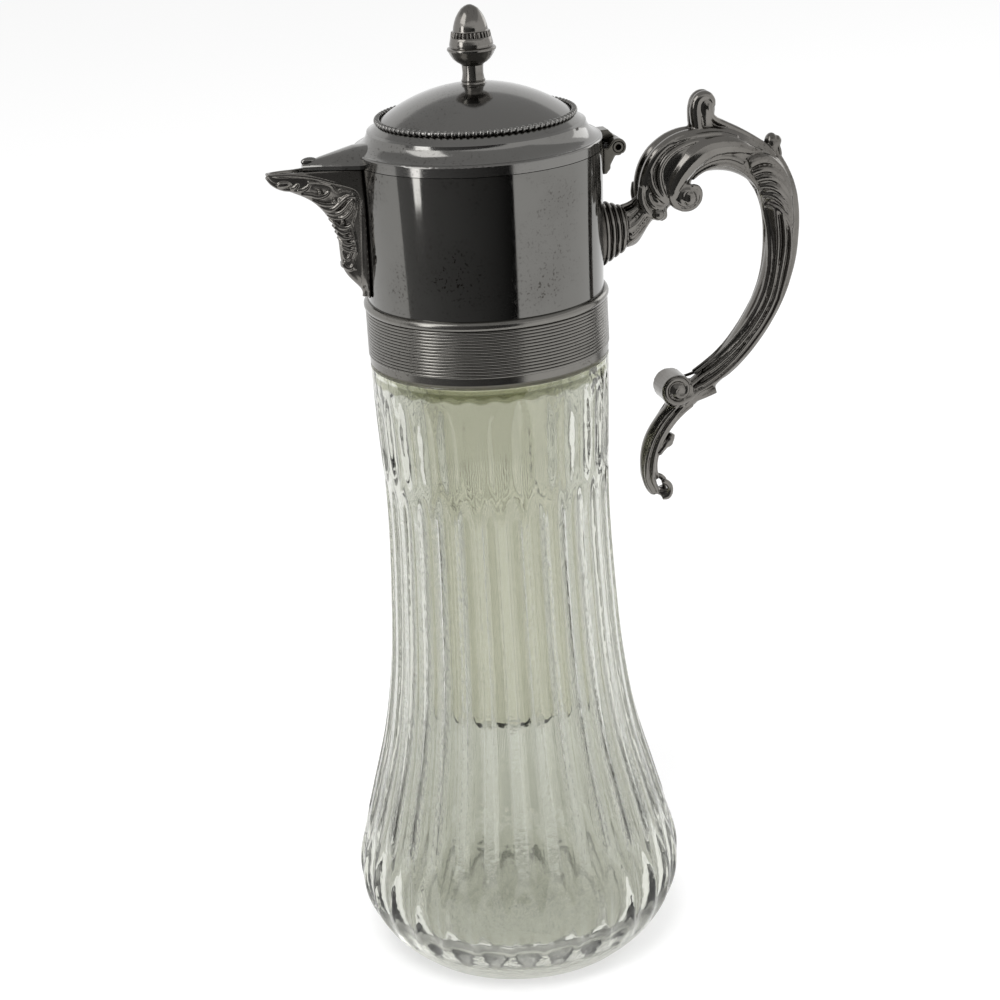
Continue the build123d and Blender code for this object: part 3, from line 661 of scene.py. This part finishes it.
def casting_core(node, name, shrink, voxel):
    """A softened copy of a solid, a little inside it, to carry raised work."""
    alone(parts[node])
    bpy.ops.object.duplicate()
    core = bpy.context.object
    core.name = name
    bpy.ops.object.mode_set(mode="EDIT")
    bpy.ops.mesh.select_all(action="SELECT")
    bpy.ops.mesh.remove_doubles(threshold=1e-6)
    bpy.ops.object.mode_set(mode="OBJECT")
    finish_with(core, "REMESH", mode="VOXEL", voxel_size=voxel * MM)
    finish_with(core, "SMOOTH", factor=0.5, iterations=3)
    if shrink:
        finish_with(core, "DISPLACE", strength=-shrink * MM, mid_level=0.0)
    return core


def spread(values, count):
    """A few values stretched evenly over so many points."""
    return np.interp(np.linspace(0, 1, count), np.linspace(0, 1, len(values)), values)


def strand(path, thick):
    """A round cord of metal through points, with its radii spread along them."""
    curve = bpy.data.curves.new("strand", "CURVE")
    curve.dimensions = "3D"
    curve.bevel_depth = 1.0
    curve.bevel_resolution = 3
    curve.resolution_u = 5
    curve.use_fill_caps = True
    spline = curve.splines.new("BEZIER")
    spline.bezier_points.add(len(path) - 1)
    for point, place, size in zip(spline.bezier_points, path, spread(thick, len(path))):
        point.co = Vector(place) * MM
        point.radius = size * MM
        point.handle_left_type = "AUTO"
        point.handle_right_type = "AUTO"
    cord = bpy.data.objects.new("strand", curve)
    bpy.context.scene.collection.objects.link(cord)
    return cord


def near_side(core, x, z):
    """Where the near side of a casting lies across it, in millimetres, and nan off its edge."""
    hit, place, _, _ = core.ray_cast(Vector((x, -40.0, z)) * MM, Vector((0, 1, 0)))
    return place.y / MM if hit else np.nan


def side_strands(core, path, thick, sunk=0.0):
    """The same cord on both sides of a casting, sunk in it by a share of the cord's radius."""
    depths = np.array([near_side(core, x, z) for x, z in path])
    if np.isnan(depths).all():
        depths[:] = 0.0
    found = ~np.isnan(depths)
    depths = np.interp(np.arange(len(depths)), np.flatnonzero(found), depths[found])
    depths[1:-1] = (depths[:-2] + 2 * depths[1:-1] + depths[2:]) / 4
    depths = depths + sunk * spread(thick, len(path))
    return [
        strand([(x, side * y, z) for (x, z), y in zip(path, depths)], thick) for side in (1, -1)
    ]


def lump(place, sizes):
    """A small rounded lump: centre and half sizes in millimetres."""
    bpy.ops.mesh.primitive_uv_sphere_add(segments=20, ring_count=12, radius=1.0)
    knob = bpy.context.object
    stretch = Matrix.Diagonal((*[size * MM for size in sizes], 1.0))
    knob.data.transform(Matrix.Translation(Vector(place) * MM) @ stretch)
    return knob


def side_lumps(core, places, sizes, proud=0.0):
    """Lumps on both sides of a casting, with their middles on its surface or proud of it."""
    knobs = []
    for x, z in places:
        y = near_side(core, x, z)
        if not np.isnan(y):
            knobs += [lump((x, side * (y - proud), z), sizes) for side in (1, -1)]
    return knobs


def cast_together(core, pieces, name, voxel, softness, kept=1.0):
    """Fuses cords and lumps with their core into one closed skin and keeps a share of its faces."""
    bpy.ops.object.select_all(action="DESELECT")
    for piece in pieces:
        piece.select_set(True)
    bpy.context.view_layer.objects.active = pieces[0]
    bpy.ops.object.convert(target="MESH")
    core.select_set(True)
    bpy.context.view_layer.objects.active = core
    bpy.ops.object.join()
    finish_with(core, "REMESH", mode="VOXEL", voxel_size=voxel * MM)
    finish_with(core, "SMOOTH", factor=0.5, iterations=softness)
    if kept < 1.0:
        finish_with(core, "DECIMATE", ratio=kept)
    alone(core)
    bpy.ops.object.shade_smooth()
    core.name = name
    return core


spout_core = casting_core("spout_casting", "spout_core", shrink=0.0, voxel=0.36)
points = points_of(spout_core)
frame_line = [
    (-66.85, 272.0), (-63.4, 271.9), (-58.1, 271.6), (-52.3, 270.4), (-48.0, 269.0), (-43.6, 267.6),
    (-41.0, 266.5), (-39.8, 265.2), (-39.2, 262.8), (-39.2, 259.5), (-39.3, 255.0), (-39.4, 251.0),
    (-39.5, 247.6), (-39.6, 243.0), (-39.7, 238.0), (-39.8, 233.5),
]
panel_depth = 0.75
lower_edge = [(-40.4, 231.0), (-46.0, 231.0), (-52.0, 246.0), (-58.0, 262.0), (-70.0, 264.0)]
corners = frame_line + lower_edge
panel = np.zeros(len(points), dtype=bool)
for (x0, z0), (x1, z1) in zip(corners, corners[1:] + corners[:1]):
    crossed = (z0 > points[:, 2]) != (z1 > points[:, 2])
    edge_x = x0 + (x1 - x0) * (points[:, 2] - z0) / ((z1 - z0) or 1e-9)
    panel ^= crossed & (points[:, 0] < edge_x)
side_face = np.sign(points[:, 1]) * np.clip((np.abs(points[:, 1]) - 1.8) / 2.2, 0.0, 1.0)
points[:, 1] -= np.where(panel, panel_depth * side_face, 0.0)
move_points(spout_core, points)

relief = side_strands(
    spout_core,
    frame_line,
    [0.5, 0.6, 0.65, 0.65, 0.65, 0.65, 0.65, 0.65, 0.6, 0.55, 0.5],
    sunk=0.1,
)
relief += side_strands(
    spout_core,
    [(-66.9, 271.4), (-65.3, 269.4), (-62.6, 267.6), (-59.0, 266.8), (-55.9, 265.4)],
    [0.6, 0.8, 0.7, 0.7, 0.5],
    sunk=0.3,
)
relief += side_strands(
    spout_core,
    [
        (-54.6, 269.3), (-51.7, 269.1), (-49.4, 268.6), (-47.4, 267.4), (-46.3, 265.9),
        (-44.8, 266.2), (-42.6, 265.9), (-41.2, 264.9), (-40.6, 263.4), (-40.6, 260.8),
        (-41.1, 258.2), (-42.0, 256.0), (-42.0, 254.6), (-41.6, 251.7), (-41.3, 249.1),
        (-41.1, 246.0), (-41.7, 244.4), (-42.3, 242.5), (-41.9, 240.0),
    ],
    [0.4, 0.45, 0.42, 0.42, 0.35],
)
relief += side_lumps(spout_core, [(-61.7, 268.9)], (2.5, 0.8, 1.15))
relief += side_lumps(
    spout_core,
    [(-51.3, 265.9), (-46.9, 262.7), (-44.7, 255.4)],
    (0.75, 0.8, 0.75),
    proud=0.4,
)
for path, thick, sunk in (
    ([(-59.9, 267.4), (-58.4, 268.0), (-57.7, 269.0)], [0.5, 0.7, 0.35], 0.1),
    ([(-57.9, 266.6), (-55.6, 267.1), (-54.2, 268.4)], [0.5, 0.75, 0.4], 0.1),
    (
        [(-56.9, 265.3), (-54.2, 265.0), (-51.9, 264.3), (-49.8, 264.6), (-48.4, 265.8)],
        [0.5, 0.8, 0.9, 0.8, 0.45],
        0.0,
    ),
    (
        [(-53.6, 263.2), (-50.8, 261.8), (-48.4, 261.4), (-46.3, 262.0), (-44.9, 263.4)],
        [0.5, 0.75, 0.9, 0.8, 0.45],
        0.0,
    ),
    (
        [
            (-52.0, 261.8), (-49.7, 260.2), (-47.7, 259.9), (-45.9, 261.2), (-44.2, 263.0),
            (-42.4, 264.0), (-41.0, 263.9),
        ],
        [0.5, 0.8, 1.0, 1.0, 0.95, 0.75, 0.45],
        -0.1,
    ),
    (
        [
            (-50.4, 259.9), (-48.3, 258.6), (-46.2, 258.4), (-44.2, 259.7), (-42.7, 261.8),
            (-41.3, 263.2),
        ],
        [0.5, 0.75, 0.9, 0.9, 0.75, 0.45],
        0.0,
    ),
    (
        [
            (-49.2, 258.0), (-47.3, 257.0), (-45.0, 256.9), (-43.2, 258.2), (-41.9, 260.2),
            (-41.2, 262.6),
        ],
        [0.5, 0.75, 0.85, 0.85, 0.7, 0.45],
        0.0,
    ),
    (
        [(-48.4, 256.3), (-47.0, 255.2), (-45.4, 253.8), (-43.6, 253.6), (-42.1, 254.6)],
        [0.5, 0.75, 0.9, 0.8, 0.45],
        0.0,
    ),
    (
        [(-47.4, 254.0), (-46.0, 252.9), (-44.5, 252.0), (-42.7, 252.4)],
        [0.5, 0.75, 0.85, 0.45],
        0.0,
    ),
    (
        [(-46.7, 252.0), (-45.4, 250.9), (-43.9, 250.1), (-42.2, 250.5)],
        [0.5, 0.75, 0.85, 0.45],
        0.0,
    ),
    (
        [(-46.1, 250.1), (-44.9, 248.9), (-43.4, 248.1), (-41.8, 248.6)],
        [0.5, 0.75, 0.9, 0.5],
        -0.05,
    ),
    ([(-45.6, 248.0), (-44.6, 246.8), (-43.2, 246.1), (-41.8, 246.7)], [0.5, 0.7, 0.8, 0.45], 0.0),
    (
        [(-45.4, 246.2), (-45.0, 244.6), (-44.1, 243.4), (-43.2, 244.6), (-42.9, 246.0)],
        [0.4, 0.5, 0.65, 0.5, 0.35],
        0.0,
    ),
    ([(-45.2, 242.2), (-44.7, 240.9), (-43.3, 240.3), (-42.3, 241.6)], [0.9, 0.9, 0.8, 0.4], 0.2),
):
    relief += side_strands(spout_core, path, thick, sunk)
relief.append(lump((-44.9, 0.0, 241.3), (1.2, 2.2, 1.2)))
spout_piece = cast_together(spout_core, relief, "spout_lip", voxel=0.2, softness=1)
give_finish(spout_piece, cast_plate)
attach(spout_piece, "pitcher")
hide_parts("spout_casting")


# SOCKET
# A plated ferrule of four rounded rings, bored for the screw, that tapers from the collar
# to the handle.
socket_start = 38.6
socket_length = 8.0
ring_count = 4
screw_bore = 2.6
collar_radius = 38.2
socket_height = 242.0
socket_climb = 0.8
ring_radius = 10.0
half_width = (8.6, 6.2)
half_height = (10.9, 7.3)
ring_line = [
    (9.15, 0.0), (9.62, 0.06), (9.9, 0.28), (10.0, 0.62), (9.9, 0.98), (9.62, 1.22), (9.15, 1.3),
    (8.9, 1.42), (8.8, 1.65), (8.9, 1.88),
]
socket_line = [(screw_bore, -0.6), (9.2, -0.6), (9.2, 0.0)]
for ring in range(ring_count):
    ring_start = ring * socket_length / ring_count
    socket_line += [(radius, ring_start + along) for radius, along in ring_line]
socket_line += [(9.0, socket_length), (screw_bore, socket_length)]
ferrule = spun("ringed_socket", socket_line, 96, closed=True)
points = points_of(ferrule)
outer = np.hypot(points[:, 0], points[:, 1]) > screw_bore + 1.0
share = np.clip(points[:, 2] / socket_length, 0.0, 1.0)
wide = np.interp(share, [0.0, 1.0], half_width)
tall = np.interp(share, [0.0, 1.0], half_height)
across = points[:, 0] * np.where(outer, wide / ring_radius, 1.0)
rise = points[:, 1] * np.where(outer, tall / ring_radius, 1.0)
on_collar = np.sqrt(collar_radius ** 2 - across ** 2) - socket_start
along = np.where(points[:, 2] < -0.1, on_collar, points[:, 2])
middle = socket_height + socket_climb * share * outer
move_points(ferrule, np.stack([socket_start + along, across, middle + rise], axis=1))
alone(ferrule)
bpy.ops.object.mode_set(mode="EDIT")
bpy.ops.mesh.select_all(action="SELECT")
bpy.ops.mesh.normals_make_consistent(inside=False)
bpy.ops.object.mode_set(mode="OBJECT")
bpy.ops.object.shade_smooth_by_angle(angle=math.radians(40))
give_finish(ferrule, cast_plate)
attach(ferrule, "pitcher")
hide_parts("handle_socket")


# HINGE
# The cast bracket, a black wedge under its knuckles, and the leaf on the lid, with their
# edges worn round, on a dimpled pin.
hinge_voxel = 0.2
wedge_bottom = 262.4
wedge_top = 268.6
wedge_reach = [39.3, 44.6]
worn_bracket = casting_core("hinge_bracket", "worn_bracket", shrink=0.0, voxel=hinge_voxel)
points = points_of(worn_bracket)
wedge_face = np.interp(points[:, 2], [wedge_bottom, wedge_top], wedge_reach)
under_knuckles = points[:, 2] < wedge_top
points[:, 0] = np.where(under_knuckles, np.minimum(points[:, 0], wedge_face), points[:, 0])
move_points(worn_bracket, points)
finish_with(worn_bracket, "REMESH", mode="VOXEL", voxel_size=hinge_voxel * MM)
finish_with(worn_bracket, "SMOOTH", factor=0.5, iterations=2)
worn_leaf = casting_core("lid_hinge_leaf", "worn_leaf", shrink=0.0, voxel=hinge_voxel)
for piece, node, body in (
    (worn_bracket, "hinge_bracket", "pitcher"),
    (worn_leaf, "lid_hinge_leaf", "lid"),
):
    alone(piece)
    bpy.ops.object.shade_smooth()
    give_finish(piece, hinge_plate)
    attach(piece, body)
    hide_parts(node)


# HANDLE ARM
# A solid casting of plated white metal: an oval arm in a long S, with raised rims, reeds,
# slanted lobes, three scrolls and leaf tips, the same on both sides.
arm_core = casting_core("handle_arm", "arm_core", shrink=0.75, voxel=0.45)
work = []
for y in (2.6, -2.6):
    work.append(
        strand(
            [
                (53.2, y, 249.5), (53.0, y, 254.0), (54.0, y, 259.4), (56.4, y, 264.2),
                (60.2, y, 267.9), (65.0, y, 270.3), (70.5, y, 271.2), (76.0, y, 271.2),
                (81.5, y, 270.0),
            ],
            [1.6, 2.0, 2.2, 2.2, 2.1, 2.0, 1.8, 1.6, 1.2],
        ),
    )
work += side_strands(
    arm_core,
    [
        (59.9, 250.1), (58.0, 252.0), (55.9, 254.5), (54.9, 257.5), (55.0, 260.5), (56.2, 263.9),
        (58.9, 266.9), (62.6, 269.0), (67.2, 270.3), (72.6, 270.9), (78.4, 270.7), (84.0, 269.0),
    ],
    [0.7, 0.95, 1.1, 1.15, 1.15, 1.15, 1.15, 1.05, 1.0, 0.9, 0.8, 0.6],
)
work += side_strands(
    arm_core,
    [
        (60.1, 250.4), (59.0, 252.6), (57.9, 255.0), (57.3, 258.0), (57.5, 261.0), (59.0, 264.0),
        (62.0, 266.7), (66.4, 268.6), (72.0, 269.6), (76.8, 269.8),
    ],
    [0.5, 0.75, 0.85, 0.9, 0.9, 0.9, 0.85, 0.8, 0.7, 0.5],
)
work += side_strands(
    arm_core,
    [(51.8, 256.5), (51.6, 252.8), (52.4, 249.8), (54.2, 247.2), (56.6, 245.9)],
    [1.0, 1.3, 1.4, 1.3, 1.2],
    sunk=0.2,
)
work += side_strands(
    arm_core,
    [(54.4, 256.0), (53.9, 253.0), (54.8, 250.6), (56.8, 249.3), (59.0, 249.4)],
    [0.6, 0.9, 1.0, 1.0, 0.8],
    sunk=0.1,
)
work += side_strands(
    arm_core,
    [
        (92.4, 263.4), (88.0, 264.6), (84.7, 266.0), (81.5, 266.8), (78.3, 267.1), (73.5, 266.5),
        (69.2, 264.2), (65.6, 260.9), (62.9, 257.1), (61.7, 253.7), (62.2, 250.8), (64.2, 248.7),
        (66.8, 248.1), (69.3, 249.3), (70.5, 251.8), (69.9, 254.4), (67.8, 255.6),
    ],
    [0.7, 1.7, 2.4, 3.0, 3.3, 3.6, 3.7, 3.5, 3.0, 2.4, 1.8, 1.35, 1.2, 1.1, 1.0, 0.9, 0.6],
    sunk=0.35,
)
for side in (-1, 1):
    work.append(lump((66.9, side * 6.9, 251.6), (2.1, 1.3, 2.5)))
    work.append(lump((56.9, side * 4.2, 247.0), (2.3, 2.2, 2.1)))
work += side_strands(
    arm_core,
    [
        (68.7, 257.1), (71.6, 259.3), (75.2, 260.7), (78.4, 261.0), (81.6, 260.4), (84.6, 258.8),
        (88.0, 256.0), (91.0, 252.3), (93.2, 247.2), (94.6, 241.5), (95.0, 235.0), (94.7, 229.0),
        (93.6, 221.3), (91.5, 215.3), (88.2, 209.6), (83.5, 203.4), (78.3, 198.2), (73.1, 194.4),
        (68.5, 191.6),
    ],
    [
        0.7, 0.8, 0.85, 0.85, 0.8, 0.8, 0.75, 0.7, 0.65, 0.65, 0.65, 0.65, 0.6, 0.6, 0.6, 0.6, 0.6,
        0.6, 0.5,
    ],
    sunk=-0.1,
)
work += side_strands(
    arm_core,
    [
        (67.4, 258.6), (69.6, 261.0), (72.4, 262.5), (75.6, 263.4), (79.2, 263.6), (82.6, 262.6),
        (85.6, 260.8),
    ],
    [0.6, 0.8, 0.8, 0.8, 0.8, 0.7, 0.5],
    sunk=-0.1,
)
for path, thick in (
    (
        [
            (87.2, 260.4), (90.2, 261.5), (93.4, 261.2), (96.7, 259.0), (99.4, 255.6),
            (101.2, 251.6), (102.2, 248.0),
        ],
        [1.9, 1.9, 1.7, 1.3, 1.0, 0.7, 0.5],
    ),
    (
        [
            (88.6, 257.2), (91.0, 258.1), (93.6, 258.1), (96.4, 256.7), (98.9, 254.0),
            (100.8, 250.6), (101.8, 247.0),
        ],
        [1.2, 1.25, 1.2, 1.1, 0.9, 0.7, 0.5],
    ),
    (
        [
            (90.3, 254.6), (92.8, 255.4), (95.4, 255.0), (98.0, 253.0), (100.0, 250.0),
            (101.3, 246.6), (102.0, 243.2),
        ],
        [1.15, 1.2, 1.15, 1.05, 0.85, 0.7, 0.5],
    ),
    (
        [
            (91.8, 252.0), (94.4, 252.3), (96.9, 251.2), (99.1, 248.9), (100.7, 245.8),
            (101.7, 242.4), (102.1, 239.2),
        ],
        [1.1, 1.15, 1.1, 1.0, 0.85, 0.7, 0.5],
    ),
    (
        [
            (93.0, 249.2), (95.6, 248.9), (97.9, 247.2), (99.9, 244.4), (101.2, 241.1),
            (101.9, 237.5),
        ],
        [1.05, 1.1, 1.05, 0.95, 0.8, 0.5],
    ),
    (
        [
            (94.4, 246.0), (96.8, 244.8), (98.9, 242.4), (100.5, 239.2), (101.3, 235.6),
            (101.6, 232.0),
        ],
        [0.95, 1.0, 0.95, 0.85, 0.7, 0.5],
    ),
):
    work += side_strands(arm_core, path, thick, sunk=0.05)
work += side_strands(
    arm_core,
    [
        (97.0, 264.0), (99.0, 260.8), (101.2, 256.2), (102.9, 250.9), (103.8, 245.5),
        (104.0, 240.0), (103.6, 234.0), (102.8, 228.0), (101.3, 221.8), (98.8, 214.6),
        (94.8, 207.2), (90.2, 201.0), (84.9, 195.4), (79.6, 191.2), (74.6, 188.6),
    ],
    [0.8, 1.0, 1.15, 1.2, 1.2, 1.2, 1.15, 1.15, 1.1, 1.05, 1.0, 1.0, 0.95, 0.9, 0.7],
    sunk=0.3,
)
work += side_strands(
    arm_core,
    [
        (92.0, 250.6), (93.8, 246.0), (95.0, 240.0), (95.4, 234.0), (95.2, 228.0), (94.2, 221.6),
        (92.0, 215.2), (88.8, 209.4), (84.6, 204.0),
    ],
    [0.8, 1.2, 1.3, 1.3, 1.3, 1.3, 1.25, 1.1, 0.7],
    sunk=0.5,
)
for path, thick in (
    (
        [
            (96.4, 245.0), (96.9, 240.0), (97.1, 234.0), (96.7, 228.3), (95.5, 221.2),
            (93.5, 214.7), (90.1, 208.7), (85.6, 202.9), (80.5, 197.8), (75.4, 193.8),
            (70.2, 190.8), (65.8, 188.9),
        ],
        [0.5, 0.65, 0.7, 0.7, 0.7, 0.68, 0.66, 0.66, 0.62, 0.6, 0.6, 0.5],
    ),
    (
        [
            (98.4, 243.0), (99.1, 237.6), (99.1, 231.6), (98.2, 226.0), (97.1, 220.7),
            (95.3, 214.2), (91.9, 208.1), (87.6, 202.6), (82.9, 197.3), (77.9, 192.9),
            (72.7, 189.5), (67.6, 187.2),
        ],
        [0.5, 0.65, 0.72, 0.72, 0.7, 0.68, 0.66, 0.66, 0.62, 0.6, 0.6, 0.5],
    ),
    (
        [
            (100.6, 240.0), (101.3, 234.6), (101.0, 229.0), (100.0, 223.5), (98.7, 218.6),
            (96.5, 212.0), (92.8, 205.8), (88.5, 200.4), (83.5, 195.2), (78.4, 191.2),
            (73.2, 188.0), (68.0, 185.7),
        ],
        [0.5, 0.65, 0.7, 0.7, 0.68, 0.66, 0.64, 0.62, 0.6, 0.6, 0.58, 0.5],
    ),
):
    work += side_strands(arm_core, path, thick, sunk=-0.55)
work += side_strands(
    arm_core,
    [
        (68.6, 185.9), (64.4, 184.1), (60.9, 183.4), (58.1, 184.9), (57.1, 187.8), (58.2, 190.4),
        (60.9, 191.6), (63.6, 190.5), (64.6, 188.1), (63.8, 186.1), (62.0, 185.5), (60.6, 186.4),
        (60.4, 188.0), (61.5, 188.7),
    ],
    [0.8, 1.0, 1.0, 1.0, 0.95, 0.95, 0.9, 0.85, 0.8, 0.7, 0.7, 0.65, 0.6, 0.6],
    sunk=-0.1,
)
for side in (-1, 1):
    work.append(
        strand(
            [
                (57.5, side * 1.6, 177.4), (61.8, side * 1.7, 180.6), (66.6, side * 1.9, 182.9),
                (71.4, side * 2.1, 184.3), (75.2, side * 2.1, 185.4),
            ],
            [1.0, 1.4, 1.4, 1.4, 1.3],
        ),
    )
for path, thick, sunk in (
    (
        [
            (62.4, 183.4), (58.0, 178.6), (54.2, 173.4), (51.5, 167.6), (50.3, 161.6),
            (50.6, 156.4), (52.4, 152.4),
        ],
        [0.5, 0.65, 0.7, 0.7, 0.65, 0.6, 0.5],
        -0.1,
    ),
    (
        [
            (63.8, 182.1), (60.2, 178.3), (56.6, 173.6), (53.9, 168.2), (52.5, 162.2),
            (52.5, 157.2), (54.0, 152.8),
        ],
        [0.6, 0.9, 0.95, 0.95, 0.9, 0.8, 0.6],
        0.0,
    ),
    (
        [
            (66.9, 181.6), (62.8, 178.9), (59.2, 175.0), (56.4, 170.4), (54.7, 165.6),
            (54.0, 161.0), (54.6, 156.6),
        ],
        [0.8, 1.0, 0.95, 0.95, 0.9, 0.8, 0.6],
        0.3,
    ),
    ([(55.2, 165.4), (57.6, 168.2), (59.5, 170.0), (60.2, 171.6)], [0.9, 1.3, 1.6, 1.2], 0.4),
    (
        [
            (71.6, 272.0), (71.4, 275.6), (71.5, 279.4), (72.6, 282.0), (74.7, 282.8),
            (76.4, 281.6), (77.0, 279.2),
        ],
        [1.7, 2.0, 2.0, 1.9, 1.7, 1.4, 0.8],
        0.35,
    ),
    (
        [
            (75.0, 280.2), (75.6, 278.0), (77.4, 275.2), (81.0, 272.9), (85.7, 270.4),
            (90.2, 267.6), (94.5, 264.4), (97.0, 261.2),
        ],
        [0.6, 0.9, 1.1, 1.2, 1.15, 1.1, 1.0, 0.8],
        0.2,
    ),
    ([(98.8, 264.2), (99.2, 262.8), (99.5, 261.2)], [0.7, 0.7, 0.6], 0.5),
    (
        [(55.6, 156.6), (57.4, 155.4), (58.2, 153.2), (57.4, 151.0), (55.4, 150.4)],
        [0.9, 1.0, 1.0, 1.0, 0.9],
        0.3,
    ),
):
    work += side_strands(arm_core, path, thick, sunk)
work.append(lump((97.0, 0.0, 265.2), (2.3, 2.7, 3.3)))
for (x0, z0), (x1, z1), thick in (
    ((45.6, 249.6), (51.6, 252.6), 0.8),
    ((45.3, 247.3), (51.2, 250.2), 1.0),
    ((45.8, 242.9), (52.4, 247.9), 1.1),
    ((45.8, 238.4), (53.8, 245.0), 1.0),
):
    middle = ((x0 + x1) / 2 + 0.3, (z0 + z1) / 2 - 0.5)
    thinning = [thick, thick * 0.9, thick * 0.55]
    work += side_strands(arm_core, [(x0, z0), middle, (x1, z1)], thinning, sunk=0.2)
for (x0, z0), (x1, z1), pearl_count in (
    ((46.2, 245.1), (51.9, 249.2), 8),
    ((46.8, 241.0), (53.4, 246.4), 9),
):
    for pearl in range(pearl_count):
        share = pearl / (pearl_count - 1)
        x = x0 + share * (x1 - x0)
        z = z0 + share * (z1 - z0) - 0.5 * math.sin(math.pi * share)
        work += side_lumps(arm_core, [(x, z)], (0.42, 0.5, 0.42))
handle_casting = cast_together(arm_core, work, "handle_casting", voxel=0.3, softness=1, kept=0.66)
give_finish(handle_casting, cast_plate)
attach(handle_casting, "pitcher")
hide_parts("handle_arm")


# TUBE
# The ice tube of clear plastic, gone a little yellow.
tube_plastic, tube_shader, _ = new_finish("tube_plastic")
tube_shader.inputs["Base Color"].default_value = (0.955, 0.95, 0.905, 1.0)
tube_shader.inputs["Roughness"].default_value = 0.12
tube_shader.inputs["IOR"].default_value = 1.12
tube_shader.inputs["Transmission Weight"].default_value = 1.0
give_finish(parts["ice_tube"], tube_plastic)


# CEMENT
# The plaster between the glass neck and the metal.
cement, cement_shader, _ = new_finish("cement")
cement_shader.inputs["Base Color"].default_value = (0.25, 0.24, 0.20, 1.0)
cement_shader.inputs["Roughness"].default_value = 0.9
give_finish(parts["neck_cement"], cement)
